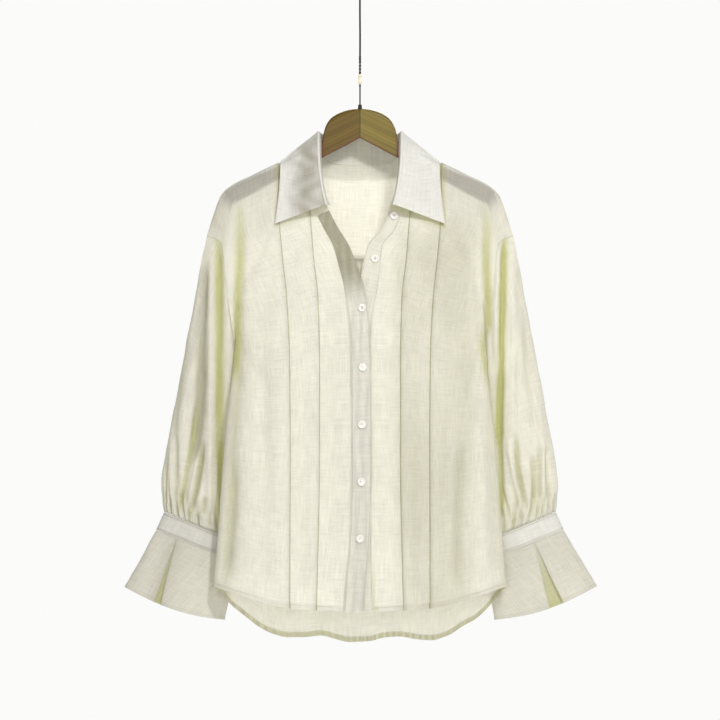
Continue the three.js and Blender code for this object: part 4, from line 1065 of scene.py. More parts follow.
def sleeve(side, name, size):
    t = SLEEVE_ROWS[:, None] + np.zeros((1, SLEEVE_COLUMNS))
    k = np.linspace(0, 1, SLEEVE_COLUMNS, endpoint=False)[None, :] + np.zeros_like(t)
    grid = sleeve_form(t, k)
    normals = grid_normals(grid, closed=True)
    normals *= -np.sign(np.sum(normals[:, SLEEVE_COLUMNS // 4, 1]))
    x, z = grid[..., 0], grid[..., 2]
    before, before_glow = creased(x, z, SLEEVE_RIGHT_CREASES if side < 0 else SLEEVE_LEFT_CREASES)
    behind, behind_glow = creased(x, z, SLEEVE_BACK_CREASES)
    facing = ease(0.5 + 2.2 * np.sin(2 * math.pi * k))
    height = mix(behind, before, facing) * np.abs(np.sin(2 * math.pi * k)) ** 0.4
    glow = mix(behind_glow, before_glow, facing)
    puffs, puff_glow = gathered(t, k, 40 + side)
    height = height + rumpled(x + 60 * side, z, 0.32, 44 + side) + waves(x, z, 0.9, 47 + side)
    height = height * ease(t / 0.05) * (1 - ease((t - 0.9) / 0.1)) + puffs
    grid = grid + normals * (height * size.creases)[..., None]
    grid[..., 0] *= side
    layers = 0.4 * np.maximum(1 - ease(t / 0.012), ease((t - 0.988) / 0.01))
    # the wearer's right sleeve, away from the light, takes stronger painted shade in its crease valleys and
    # an even painted shade all over; both sleeves take some
    shade, plain = (0.62, 0.07) if side < 0 else (0.25, 0)
    layers = np.clip(layers + plain + shade * valley(height + 0.5, 5.5), 0, 1)
    glow = np.clip(glow + puff_glow * 0.6, 0, 1)
    return shell(f"cloth_sleeve_{name}", grid, size.cloth, closed=True, layers=layers, glow=glow)


def cuff_points(rows, down, k, sink=0.0, shift=0.0, sag=0.0):
    """Points of a cuff's ring, of the wearer's left side."""
    angle = 2 * math.pi * (k + shift)
    across = (1 - np.cos(angle)) / 2
    half = look(rows, "down", "half", down) - sink
    return points(
        mix(look(rows, "down", "out_x", down), look(rows, "down", "in_x", down), across),
        CUFF_Y - half * np.sin(angle),
        mix(look(rows, "down", "out_z", down), look(rows, "down", "in_z", down), across)
        - sag * np.sin(across * math.pi),
    )


BAND_DOWN = np.array([0, 0.02, 0.06, 0.1, 0.14, 0.2, 0.3, 0.4, 0.5, 0.6, 0.7, 0.76, 0.8, 0.84, 0.88,
                      0.91, 0.94, 0.97, 0.985, 1])


def cuff_band(side, name, size):
    count = 150
    down = BAND_DOWN[:, None] + np.zeros((1, count))
    k = np.linspace(0, 1, count, endpoint=False)[None, :] + 0 * down
    grid = cuff_points(CUFF_BAND, down, k)
    normals = grid_normals(grid, closed=True)
    normals *= -np.sign(np.sum(normals[:, count // 4, 1]))
    pucker = 0.22 * np.sin(2 * math.pi * k * 58 + np.sin(k * 40)) * (1 - ease(down / 0.25))
    rows = np.exp(-((down - 0.87) / 0.02) ** 2) + np.exp(-((down - 0.94) / 0.02) ** 2)
    rows = rows + np.exp(-((down - 0.09) / 0.03) ** 2)
    height = pucker - 0.22 * rows + rumpled(grid[..., 0], grid[..., 2] * 3, 0.12, 52 + side)
    grid = grid + normals * height[..., None]
    grid[..., 0] *= side
    # painted shade: the wearer's right cuff is darker all over, and both cuffs darker along their stitch
    # rows' grooves
    layers = (0.3 if side < 0 else 0.06) + (0.5 if side < 0 else 0.2) * np.clip(rows, 0, 1)
    return shell(f"cuff_{name}", grid, size.double, closed=True, layers=layers)


def pleated_ring(down, count, pleats):
    """(k, sink, shift) columns of the flare at each row, with its inverted pleats."""
    sink = PLEAT_SINK * (0.08 + 0.92 * down)
    plain = np.linspace(0, 1, count, endpoint=False)
    plain = plain[np.all([np.abs(plain - hem) > PLEAT_CLEAR for hem in pleats["hem"]], axis=0)]
    turns = [(-1, 0), (-1.35, 0.5), (-0.9, 1), (0, 1.02), (0.9, 1), (1.35, 0.5), (1, 0)]
    fine = np.linspace(0, 1, 55)
    moves = np.stack([np.interp(fine, np.linspace(0, 1, 7), [turn[i] for turn in turns]) for i in (0, 1)])
    for _ in range(5):
        inside = (moves[:, :-2] + 2 * moves[:, 1:-1] + moves[:, 2:]) / 4
        moves = np.concatenate([moves[:, :1], inside, moves[:, -1:]], axis=1)
    columns = [(k, 0.0, 0.0, 0.0, 0.0) for k in plain]
    for top, hem, opened in zip(pleats["top"], pleats["hem"], pleats["open"]):
        near = [i for i, row in enumerate(columns) if row[2] == 0 and abs(row[0] - hem) < 0.14]
        for i in near:
            k = columns[i][0]
            columns[i] = (k, 0.0, 0.0, 0.0, (top - hem) * float(bell(k - hem, 0.14)))
        for i, (shift, sunk) in enumerate(moves.T):
            columns.append((hem + 1e-6 * i, sunk, 1.0, shift * opened, top - hem))
    columns = np.array(sorted(columns))
    k, sunk, _, shift, lean = (columns[:, i][None, :] for i in range(5))
    return k + 0 * down, sunk * sink, shift * (0.16 + 0.84 * down) + lean * (1 - down)


FLARE_DOWN = np.concatenate([np.linspace(0, 0.95, 48)[:-1], np.linspace(0.95, 1, 8)])


def cuff_flare(side, name, size):
    down = FLARE_DOWN[:, None]
    k, sink, shift = pleated_ring(down, 170, FLARE_PLEATS[side])
    grid = cuff_points(CUFF_FLARE, down + 0 * k, k, sink, shift, FLARE_SAG * down ** 1.5)
    normals = grid_normals(grid, closed=True)
    x, z = grid[..., 0], grid[..., 2]
    rng = np.random.default_rng(60 + side)
    height = rumpled(x, z, 0.35, 62 + side)
    for _ in range(9):
        centre, width, size_mm = rng.uniform(0, 1), rng.uniform(0.03, 0.07), rng.uniform(-2.6, 2.6)
        away = np.abs((k + shift - centre + 0.5) % 1 - 0.5)
        height = height + size_mm * np.exp(-(away / width) ** 2) * ease(down * 1.1)
    sunk = np.clip(sink / PLEAT_SINK, 0, 1)
    normals *= np.sign(np.sum(normals[:, 3, 0]))
    grid = grid + normals * (height * (1 - sunk) * ease(down * 3) * size.creases)[..., None]
    grid[..., 0] *= side
    # the whole flare is a little darker and its hem more; painted shade darkens and yellows the pleats'
    # inner folds, and the cloth beside the pleats on the wearer's right
    hem = ease((down - 0.93) / 0.02)
    beside = sum(bell(k - at, 0.075) for at in FLARE_PLEATS[side]["hem"])
    layers = np.clip(0.24 + 0.1 * hem + 0.3 * sunk + 0.25 * beside * (side < 0), 0, 1)
    glow = 0.7 * sunk
    thickness = size.cloth + 0.35 * hem + 0 * k
    return shell(f"cloth_flare_{name}", grid, thickness, closed=True, layers=layers, glow=glow)


# Collar

def neck_points(a):
    """Seam between neck and collar stand, from the middle of the back to the front."""
    seam = np.stack([BACK_NECK[name] for name in "xyz"], axis=-1)
    part = np.clip(a / 0.5, 0, 1)
    behind = along(seam, part) + points(-0.9 * ease((part - 0.75) / 0.25), 0, NECK_GAP)
    v = (np.clip(a - 0.5, 0, 1) / 0.5) ** 2 * STAND_END
    z = mix(shoulder_z(NECK_X), front_hem_z(0.0), v)
    x = look(INNER, "z", "under", z)
    before = points(x - STAND_INSET, -front_depth(x, z, v), z + NECK_GAP * bell(a - 0.5, 0.15))
    return np.where((a <= 0.5)[..., None], behind, before)


def collar_roll(a):
    return points(*(look(COLLAR, "a", name, a) for name in ("roll_x", "roll_y", "roll_z")))


def under_collar(x, z, behind):
    v = np.maximum((shoulder_z(x) - z) / (shoulder_z(x) - front_hem_z(x)), 0)
    return np.where(behind, yoke_depth(x, z), -front_depth(x, z, v))


def collar_leaf_points(a, down, thickness):
    """Half of the collar's leaf: it rolls over the stand, then lies on the cloth."""
    roll = collar_roll(a)
    stand = unit(roll - neck_points(a))
    out = unit(mix(points(1, 0, 0 * a), points(0 * a, 1, 0), (1 - ease(a / 0.42))[..., None]))
    out = unit(out - stand * np.sum(out * stand, axis=-1, keepdims=True))
    start = roll + stand * (thickness / 2 + 0.1)
    turn = np.clip(down / 0.1, 0, 1)[..., None] * math.pi
    rolled = start + out * COLLAR_LIFT * (1 - np.cos(turn)) / 2 + stand * 1.5 * np.sin(turn)
    edge = look(COLLAR, "a", "edge_x", a), look(COLLAR, "a", "edge_z", a)
    behind = a < 0.5
    far = points(edge[0], under_collar(*edge, behind), edge[1])
    point = mix(rolled, far, np.clip((down - 0.1) / 0.9, 0, 1)[..., None])
    clear = COLLAR_CLEAR * ease(np.abs(a - 0.5) / 0.1) + COLLAR_LIFT
    under = under_collar(point[..., 0], point[..., 2], behind)
    low = np.where(
        behind,
        np.maximum(point[..., 1], under + np.minimum(clear, COLLAR_LIFT + 1)),
        np.minimum(point[..., 1], under - clear),
    )
    point[..., 1] = np.where(down > 0.1, low, point[..., 1])
    return point


COLLAR_ALONG = np.concatenate([
    np.linspace(0, 0.4, 44)[:-1], np.linspace(0.4, 0.6, 40)[:-1], np.linspace(0.6, 0.985, 52)[:-1],
    np.linspace(0.985, 1, 6),
])


def whole_collar(half):
    """A collar's grid from its half of the wearer's left side."""
    other = half * (-1, 1, 1)
    return np.concatenate([other[:, :0:-1], half], axis=1)


def collar_stand(size):
    up = np.linspace(0, 1, 14)[:, None]
    a = COLLAR_ALONG[None, :] + 0 * up
    seam = neck_points(a) - points(0, 0, (NECK_GAP - 0.2) * bell(a, 0.5))
    grid = whole_collar(mix(seam, collar_roll(a), up[..., None]))
    normals = grid_normals(grid)
    pucker = 0.35 * np.sin(grid[..., 0] / 2.3 + 2 * np.sin(grid[..., 0] / 17))
    grid = grid + normals * (pucker * ease(up * 3) * ease((1 - up) * 3))[..., None]
    start = len(COLLAR_ALONG) - 1
    return shell("stand", grid, size.double, normals=normals, start=start, layers=0.04)


def collar_leaf(size):
    down = np.concatenate([np.linspace(0, 0.1, 11)[:-1], np.linspace(0.1, 0.97, 52)[:-1],
                           np.linspace(0.97, 1, 6)])[:, None]
    a = COLLAR_ALONG[None, :] + 0 * down
    grid = whole_collar(collar_leaf_points(a, down + 0 * a, size.double))
    for _ in range(3):
        grid[12:-1] = (grid[11:-2] + 2 * grid[12:-1] + grid[13:]) / 4
    normals = grid_normals(grid)
    normals *= -np.sign(normals[30, 20, 1])
    free = ease((down - 0.15) / 0.2) * ease((1.0 - down) / 0.12)
    height = rumpled(grid[..., 0], grid[..., 2], 0.45, 70) + waves(grid[..., 0], grid[..., 2], 0.8, 71)
    grid = grid + normals * (height * free * 0.7)[..., None]
    start = len(COLLAR_ALONG) - 1
    x, z = grid[..., 0], grid[..., 2]
    # painted shade, mottled, on the wearer's right leaf near its neck; its rolled edge is a little darker
    right = ease(-x / 20)
    shade_mottle = 0.75 + 0.35 * np.sin(x / 6.3 + 2 * np.sin(z / 11)) * np.sin(z / 9)
    near = ease((0.95 - down) / 0.55) * ease(down / 0.12)
    layers = np.clip(0.02 + 0.15 * ease((down - 0.965) / 0.02) + 0.85 * right * shade_mottle * near, 0, 1)
    return shell("collar", grid, size.double, normals=normals, start=start, layers=layers)


# Buttons and hanger

def revolved(profile, sides):
    """(places, quads) of a profile of (radius, height), turned round +Z, closed by its last small ring."""
    angle = np.linspace(0, 2 * math.pi, sides, endpoint=False)
    r, h = np.array(profile, dtype=float).T
    places = points(r[:, None] * np.cos(angle), r[:, None] * np.sin(angle), h[:, None])
    return places.reshape(-1, 3), ring_quads(len(r), sides)


BUTTON_PROFILE = (
    (0.01, 0.15), (3, 0.12), (5, 0), (5.7, 0.2), (6.15, 0.65), (6.3, 1.2), (6.22, 1.75), (5.9, 2.25),
    (5.45, 2.5), (4.95, 2.45), (4.5, 2.15), (4.1, 1.8), (3.6, 1.62), (2.6, 1.52), (1.2, 1.5), (0.01, 1.5),
)
HOLE_PLACE = 1.25
HOLE_RADIUS = 0.62


def drilled_button():
    """One button mesh in millimetres with four thread holes cut through it."""
    places, quads = revolved(BUTTON_PROFILE, 56)
    mesh = mesh_from("button", places, quads, 40)
    made = bmesh.new()
    made.from_mesh(mesh)
    bmesh.ops.remove_doubles(made, verts=made.verts, dist=0.05)
    bmesh.ops.recalc_face_normals(made, faces=made.faces)
    made.to_mesh(mesh)
    made.free()
    blank = bpy.data.objects.new("button", mesh)
    bpy.context.scene.collection.objects.link(blank)
    cutter = bpy.data.meshes.new("holes")
    made = bmesh.new()
    for x in (-HOLE_PLACE, HOLE_PLACE):
        for y in (-HOLE_PLACE, HOLE_PLACE):
            move = Matrix.Translation((x, y, 1))
            bmesh.ops.create_cone(
                made, segments=16, radius1=HOLE_RADIUS, radius2=HOLE_RADIUS, depth=6, cap_ends=True,
                matrix=move,
            )
    made.to_mesh(cutter)
    made.free()
    holes = bpy.data.objects.new("holes", cutter)
    bpy.context.scene.collection.objects.link(holes)
    cut = blank.modifiers.new("holes", "BOOLEAN")
    cut.object = holes
    cut.solver = "EXACT"
    graph = bpy.context.evaluated_depsgraph_get()
    drilled = bpy.data.meshes.new_from_object(blank.evaluated_get(graph))
    bpy.data.objects.remove(blank)
    bpy.data.objects.remove(holes)
    drilled.polygons.foreach_set("use_smooth", np.ones(len(drilled.polygons), dtype=bool))
    drilled.set_sharp_from_angle(angle=math.radians(35))
    return drilled


def button_frame(x, z, side):
    """(centre, outward direction) of a button on its band, in millimetres."""
    reach = np.array([x * float(side)])
    z = np.array([float(z)])
    v = (shoulder_z(NECK_X) - z) / (shoulder_z(NECK_X) - front_hem_z(0.0))
    lift = overlap_lift(side, reach, z) + 1.62
    at, ahead = (surface(side, reach, z, v, front_depth, -1, lift + out)[0] for out in (0, 1))
    return at, unit(ahead - at)


def turned_to(places, at, out, spin):
    """Places round +Z, turned so that +Z points out and moved to at."""
    turn = Vector((0, 0, 1)).rotation_difference(Vector(out)).to_matrix() @ Matrix.Rotation(spin, 3, "Z")
    return places @ np.array(turn).T + at


def sewing_thread(at, out, spin):
    """Crossed and paired threads through a button's holes, and the shank that holds it off the band."""
    parts = []
    h = HOLE_PLACE
    pairs = (((-h, -h), (h, -h)), ((-h, h), (h, h)), ((-h, -h), (h, h)))
    for number, (a, b) in enumerate(pairs):
        for shift in (-0.2, 0.12):
            t = np.linspace(0, 1, 9)[:, None]
            flat = np.array(a) * (1 - t) + np.array(b) * t + shift
            rise = 1.15 + 0.85 * np.sin(np.linspace(0, math.pi, 9)) ** 0.5 + 0.12 * number
            places, quads = capped_tube(np.column_stack([flat, rise]), 0.17, 6)
            parts.append((turned_to(places, at, out, spin), quads))
    places, quads = revolved(((0.01, -1.0), (1.6, -1.0), (1.3, -0.5), (1.4, 0.3), (0.01, 0.35)), 16)
    parts.append((turned_to(places, at, out, spin), quads))
    return joined(parts)


def hanger_arm(side, name):
    """One arm of the hanger with a rounded top edge, its end at the middle cut square for the mitre."""
    x = np.concatenate([[0.02, 0.5, 1.2], np.linspace(3, 60, 36), np.linspace(62, 196, 60),
                        np.linspace(197.5, 203, 8), [203.6, 203.9, 204.0]])
    along_top = shoulder_z(x) - 1.8 - 2.5 * ease((x - 190) / 14)
    top = np.where(x <= 58, look(ARM_TOP, "x", "z", x), along_top)
    low = look(ARM_LOW, "x", "z", x)
    depth = ARM_HALF * (1 - 0.5 * ease((x - 165) / 38))
    bevel = np.where(x < 0.4, 0.35, 0)
    end = np.interp(x, [203, 203.6, 203.9, 204.0], [1, 0.92, 0.8, 0.6])
    middle = (top + low) / 2
    steps = np.linspace(0, 9, 46)
    section = [np.interp(steps, np.arange(10), ARM_SECTION[part]) for part in ("across", "drop", "down")]
    full = [np.concatenate([part, part[-2:0:-1]]) for part in section]
    full[0][len(steps):] *= -1
    for _ in range(4):
        full[:2] = [(np.roll(part, 1) + 2 * part + np.roll(part, -1)) / 4 for part in full[:2]]
    z = mix(top[:, None], low[:, None], full[2][None, :]) - full[1][None, :]
    z = middle[:, None] + (z - middle[:, None]) * end[:, None]
    y = full[0][None, :] * (depth * end)[:, None]
    y = y - np.sign(y) * bevel[:, None]
    places = points(side * x[:, None], y, z).reshape(-1, 3)
    sides = len(full[0])
    quads = ring_quads(len(x), sides)
    caps = []
    for start, turned in ((0, False), (len(places) - sides, True)):
        for q in range(sides // 2 - 1):
            quad = [start + q, start + q + 1, start + sides - q - 2, start + sides - q - 1]
            caps.append(quad if turned else quad[::-1])
    quads = np.concatenate([quads, np.array(caps)])
    if side > 0:
        quads = quads[:, ::-1]
    mesh = mesh_from(f"arm_{name}", places * MM, quads, 35)
    grain = mesh.uv_layers.new(name="grain")
    spots = places[quads].reshape(-1, 3)
    slope = math.radians(26.5)
    run = np.abs(spots[:, 0]) * math.cos(slope) - spots[:, 2] * math.sin(slope)
    off = np.abs(spots[:, 0]) * math.sin(slope) + spots[:, 2] * math.cos(slope)
    if len(mesh.loops) != len(spots):
        raise RuntimeError(f"arm_{name} lost a face")
    grain.uv.foreach_set("vector", (np.stack([run, off], 1) * MM).astype(np.float32).ravel())
    outward(mesh)
    return bpy.data.objects.new(f"arm_{name}", mesh)


def outward(mesh):
    """Turns a closed mesh's faces so that they all point out."""
    made = bmesh.new()
    made.from_mesh(mesh)
    bmesh.ops.recalc_face_normals(made, faces=made.faces)
    made.to_mesh(mesh)
    made.free()


def hook_wire():
    """The long wire with its closed eye, which ends in a small bent tail."""
    angle = np.linspace(-math.pi / 2, 1.42 * math.pi, 64)
    eye = points(EYE * np.cos(angle), np.linspace(0, 0.6, 64), EYE * (np.sin(angle) - 1) - WIRE)
    rod = points(0.12 * np.sin(np.linspace(0, 6, 24)), 0, np.linspace(-122, -24, 24))
    path = np.concatenate([rod, eye])
    return capped_tube(path, WIRE, 14)


def twisted_join():
    """Two thin wires wound round each other where the long wire meets the rod."""
    parts = []
    for start in (0, math.pi):
        z = np.linspace(-166, -119, 130)
        turn = start + (z + 166) / 47 * 2 * math.pi * 4.5
        radius = 0.85 * ease((z + 166) / 4) * ease((-119 - z) / 4) + 0.1
        parts.append(capped_tube(points(radius * np.cos(turn), radius * np.sin(turn), z), 0.85, 10))
    ring = np.linspace(0, 2 * math.pi, 28, endpoint=False)
    for z in (-121, -123.4, -165, -127):
        places = points(1.35 * np.cos(ring), 1.35 * np.sin(ring), z + 0.5 * np.sin(ring))
        parts.append(tube(places, 0.55, 8, closed=True))
    return joined(parts)


def wrap():
    """The pale binding over the lower half of the join."""
    z = np.linspace(-162, -147, 200)
    turn = z * 2 * math.pi / 1.25
    radius = 1.75 + 0.1 * np.sin(z * 1.3)
    return capped_tube(points(radius * np.cos(turn), radius * np.sin(turn), z), 0.62, 7)


def hook_rod():
    z = np.linspace(-200, -163, 20)
    return capped_tube(points(0 * z, 0 * z, z), 1.1, 14)


FERRULE_PROFILE = (
    (0.01, -199.6), (3.3, -199.6), (3.5, -199.2), (3.5, -198.5), (2.9, -198.1), (2.9, -194.2),
    (2.75, -193.5), (2.1, -192.9), (1.25, -192.6), (0.01, -192.6),
)


# Sewing

def front_stitch_rows(side, size):
    """Stitch lines that lie on a front: under its shoulder seam and along the hem."""
    x = np.linspace(64, 203, 90)
    z = shoulder_z(x) - 3.4
    seam = surface(side, x, z, 0.0105 + 0 * x, front_depth, -1, size.cloth / 2 + 0.1)
    x = np.linspace(12, 214, 150)
    z = front_hem_z(x) + 6.2
    v = 0.991 + 0 * x
    height, _ = front_creases(side, x, z, v, size.creases)
    hem = surface(side, x, z, v, front_depth, -1, height + size.cloth / 2 + 0.3)
    return [(seam, 2.6), (hem, 2.4)]


def band_stitch_rows(side, size):
    """Stitch lines along both long edges of a button band."""
    edge = line_from(INNER, "over" if side < 0 else "under")
    band = band_column(edge, line_from(LINES, "inner"))
    v = np.linspace(BAND_TOP + 0.003, 0.997, 420)
    lift = size.cloth / 2 + BAND_LIFT + size.double * 0.42 - 0.05
    rows = []
    for part in (0.06, 0.93):
        path, _, _ = front_points(side, [between(edge, band, part)], v, size.creases, lift)
        rows.append((path[:, 0], 2.3))
    return rows


def tack_rows(side, size):
    """Short bars of thread that close each tuck at the chest."""
    rows = []
    lift = 2 * size.layer_pitch + size.cloth / 2 + 0.25
    for name in ("inner", "outer"):
        x = look(LINES, "z", name, TACK_Z) + np.linspace(-1, 7, 12)
        rows.append((surface(side, x, TACK_Z + 0 * x, 0.32 + 0 * x, front_depth, -1, lift), 1.6))
    return rows


def cuff_stitch_rows(side, size):
    """Stitch lines round a cuff's band: under its gathers, and two at its lower edge."""
    rows = []
    k = np.linspace(0, 1, 500)
    ring = points(np.cos(2 * math.pi * k), -np.sin(2 * math.pi * k), 0)
    for down in (0.09, 0.87, 0.94):
        path = cuff_points(CUFF_BAND, down + 0 * k, k)
        ahead = cuff_points(CUFF_BAND, down + 0.02 + 0 * k, k)
        out = unit(np.cross(unit(np.gradient(path, axis=0)), unit(ahead - path)))
        out = out * np.sign(np.sum(out * ring, axis=1))[:, None]
        path = path + out * (0.473 * size.double - 0.12)
        rows.append((path * (side, 1, 1), out * (side, 1, 1), 2.3))
    return rows


def with_normals(path, direction):
    """Normals of a path on cloth that faces roughly a direction."""
    ahead = unit(np.gradient(path, axis=0))
    direction = np.broadcast_to(np.array(direction, dtype=float), path.shape)
    return unit(direction - ahead * np.sum(direction * ahead, axis=1, keepdims=True))


# Materials

def node_group(name, inputs, outputs):
    """(group, input node, output node) of a new shader group with named sockets."""
    group = bpy.data.node_groups.new(name, "ShaderNodeTree")
    for label, kind, value in inputs:
        socket = group.interface.new_socket(label, in_out="INPUT", socket_type=kind)
        if value is not None:
            socket.default_value = value
    for label, kind in outputs:
        group.interface.new_socket(label, in_out="OUTPUT", socket_type=kind)
    return group, group.nodes.new("NodeGroupInput"), group.nodes.new("NodeGroupOutput")


def feed(tree, socket, value):
    """Links another socket to an input, or sets the input's own value."""
    if isinstance(value, bpy.types.NodeSocket):
        tree.links.new(value, socket)
    else:
        socket.default_value = value


def node(tree, kind, x, y, **values):
    """A node at a place in its tree; each value is a property, or feeds the input of that name."""
    made = tree.nodes.new(kind)
    made.location = (x, y)
    for key, value in values.items():
        if hasattr(made, key):
            setattr(made, key, value)
        else:
            feed(tree, made.inputs[key.replace("_", " ")], value)
    return made


def math_node(tree, x, y, operation, a, b=0.0, c=0.0, clamp=False):
    """A math node whose operands are sockets or numbers; gives its output."""
    made = node(tree, "ShaderNodeMath", x, y, operation=operation, use_clamp=clamp)
    for socket, value in zip(made.inputs, (a, b, c)):
        feed(tree, socket, value)
    return made.outputs[0]


def ramp(tree, x, y, value, low, high, start=0.0, end=1.0, **kind):
    """A socket's values between low and high, turned into start to end."""
    made = node(tree, "ShaderNodeMapRange", x, y, Value=value, **kind)
    for label, limit in (("From Min", low), ("From Max", high), ("To Min", start), ("To Max", end)):
        made.inputs[label].default_value = limit
    return made.outputs[0]


def stretched_noise(tree, x, y, source, scale, detail=3.0, rough=0.55):
    """Noise of a vector stretched by scale."""
    wide = node(tree, "ShaderNodeVectorMath", x, y, operation="MULTIPLY")
    feed(tree, wide.inputs[0], source)
    feed(tree, wide.inputs[1], scale)
    noise = node(
        tree, "ShaderNodeTexNoise", x + 180, y, Vector=wide.outputs[0], Scale=1.0, Detail=detail,
        Roughness=rough,
    )
    return noise.outputs["Fac"]


def colour_mix(tree, x, y, factor, a, b, blend="MIX"):
    """A colour mix of sockets or colours; gives its output."""
    made = node(tree, "ShaderNodeMix", x, y, data_type="RGBA", blend_type=blend)
    for number, value in ((0, factor), (6, a), (7, b)):
        plain = isinstance(value, (bpy.types.NodeSocket, float))
        feed(tree, made.inputs[number], value if plain else (*value[:3], 1))
    return made.outputs[2]


def slub_weave_group():
    """Linen's plain weave: uneven threads both ways, from a thread map in metres."""
    group, start, end = node_group(
        "slub_weave",
        [("Threads", "NodeSocketVector", None), ("Slub", "NodeSocketFloat", 0.3)],
        [("Tone", "NodeSocketFloat"), ("Height", "NodeSocketFloat"), ("Gaps", "NodeSocketFloat")],
    )
    threads = start.outputs["Threads"]
    weft = stretched_noise(group, -700, 200, threads, (34, 620, 1))
    warp = stretched_noise(group, -700, 0, threads, (560, 30, 1))
    both = math_node(group, -300, 120, "ADD", weft, warp)
    tone = math_node(group, -140, 120, "SUBTRACT", both, 1.0)
    parted = node(group, "ShaderNodeSeparateXYZ", -700, -220, Vector=threads)
    across = math_node(group, -520, -200, "MULTIPLY", parted.outputs[0], 8000.0)
    down = math_node(group, -520, -300, "MULTIPLY", parted.outputs[1], 8600.0)
    over = math_node(group, -360, -200, "SINE", across)
    under = math_node(group, -360, -300, "SINE", down)
    weave = math_node(group, -200, -240, "MULTIPLY", over, under)
    soft = math_node(group, -60, -240, "MULTIPLY", weave, 0.22)
    feed(group, end.inputs["Tone"], math_node(group, 80, 120, "MULTIPLY", tone, start.outputs["Slub"]))
    feed(group, end.inputs["Height"], math_node(group, 80, -140, "ADD", soft, tone))
    gaps = math_node(group, 80, -320, "MULTIPLY_ADD", weave, -0.5, 0.5, clamp=True)
    feed(group, end.inputs["Gaps"], gaps)
    return group


def handled_group():
    """Broad cloudy tone and shallow dents of a handled surface, from places in metres."""
    group, start, end = node_group(
        "handled_surface",
        [("Place", "NodeSocketVector", None), ("Size", "NodeSocketFloat", 0.03)],
        [("Tone", "NodeSocketFloat"), ("Height", "NodeSocketFloat")],
    )
    scale = math_node(group, -760, -120, "DIVIDE", 1.0, start.outputs["Size"])
    noises = []
    for y, finer, detail, rough, bend in ((80, 0.6, 2.0, 0.5, 0.3), (-160, 2.2, 4.0, 0.62, 0.6)):
        noises.append(node(
            group, "ShaderNodeTexNoise", -360, y, Vector=start.outputs["Place"],
            Scale=math_node(group, -560, y, "MULTIPLY", scale, finer),
            Detail=detail, Roughness=rough, Distortion=bend,
        ))
    tone = math_node(group, -120, 80, "SUBTRACT", noises[0].outputs["Fac"], 0.5)
    feed(group, end.inputs["Tone"], tone)
    feed(group, end.inputs["Height"], noises[1].outputs["Fac"])
    return group


def handled_node(tree, groups, size, x=-700, y=0):
    """The handled surface on a mesh's own places, with dents of a size in metres."""
    spot = node(tree, "ShaderNodeTexCoord", x - 200, y)
    return node(
        tree, "ShaderNodeGroup", x, y, node_tree=groups.handled, Place=spot.outputs["Object"], Size=size,
    )


def new_material(name):
    material = bpy.data.materials.new(name)
    material.use_nodes = True
    material.node_tree.nodes.clear()
    return material, material.node_tree


def finished(tree, material, shade, **values):
    """Ends a plain material in one Principled shader."""
    shader = node(tree, "ShaderNodeBsdfPrincipled", 0, 60, Base_Color=shade, **values)
    node(tree, "ShaderNodeOutputMaterial", 260, 60, Surface=shader.outputs[0])
    return material


def dimmed(colour, share):
    return tuple(share * c for c in colour[:3])


def linen_material(name, groups, look_of, colour, through, sheer):
    """Linen: cloth on cloth and painted shade turn it taupe, and deep folds and painted shadows
    yellow-green, by the mesh's own attributes.
    """
    material, tree = new_material(name)
    threads = node(tree, "ShaderNodeUVMap", -1500, 100, uv_map="threads")
    weave = node(
        tree, "ShaderNodeGroup", -1280, 100, node_tree=groups.weave, Threads=threads.outputs[0],
        Slub=look_of.slub_contrast,
    )
    handled = handled_node(tree, groups, 0.03, -1280, -200)
    layers = node(tree, "ShaderNodeAttribute", -1280, 420, attribute_name="layers")
    glow = node(tree, "ShaderNodeAttribute", -1280, 620, attribute_name="glow")
    # taupe for cloth on cloth and for painted shade
    doubled_and_shaded = colour_mix(tree, -900, 400, layers.outputs["Fac"], colour, look_of.doubled_and_shaded_colour)
    # yellow-green for light passed through folds and for painted shadows
    folded = colour_mix(tree, -720, 400, glow.outputs["Fac"], doubled_and_shaded, look_of.fold_colour)
    cloudy = math_node(tree, -1060, -120, "MULTIPLY", handled.outputs["Tone"], 0.1)
    tone = math_node(tree, -900, 60, "ADD", weave.outputs["Tone"], cloudy)
    light = math_node(tree, -740, 60, "ADD", tone, 0.97)
    grey = node(tree, "ShaderNodeCombineColor", -560, 60, Red=light, Green=light, Blue=light)
    shade = colour_mix(tree, -380, 300, 1.0, folded, grey.outputs[0], "MULTIPLY")
    crumple = node(
        tree, "ShaderNodeBump", -700, -260, Strength=0.5, Distance=0.0008,
        Height=handled.outputs["Height"],
    )
    bump = node(
        tree, "ShaderNodeBump", -480, -260, Strength=0.45, Distance=0.00018,
        Height=weave.outputs["Height"], Normal=crumple.outputs[0],
    )
    gaps = math_node(tree, -480, -60, "MULTIPLY", weave.outputs["Gaps"], -sheer)
    cloth = node(
        tree, "ShaderNodeBsdfPrincipled", -140, 200, Base_Color=shade, Normal=bump.outputs[0],
        Alpha=math_node(tree, -320, -60, "ADD", gaps, 1.0 - sheer / 3, clamp=True),
        Roughness=0.9, Specular_IOR_Level=0.2, Sheen_Weight=0.18, Sheen_Roughness=0.5,
    )
    warm = colour_mix(tree, -320, -420, 1.0, shade, look_of.passed_colour, "MULTIPLY")
    passed = node(tree, "ShaderNodeBsdfTranslucent", -140, -260, Color=warm, Normal=bump.outputs[0])
    both = node(tree, "ShaderNodeMixShader", 120, 100, Fac=through)
    feed(tree, both.inputs[1], cloth.outputs[0])
    feed(tree, both.inputs[2], passed.outputs[0])
    node(tree, "ShaderNodeOutputMaterial", 300, 100, Surface=both.outputs[0])
    return material


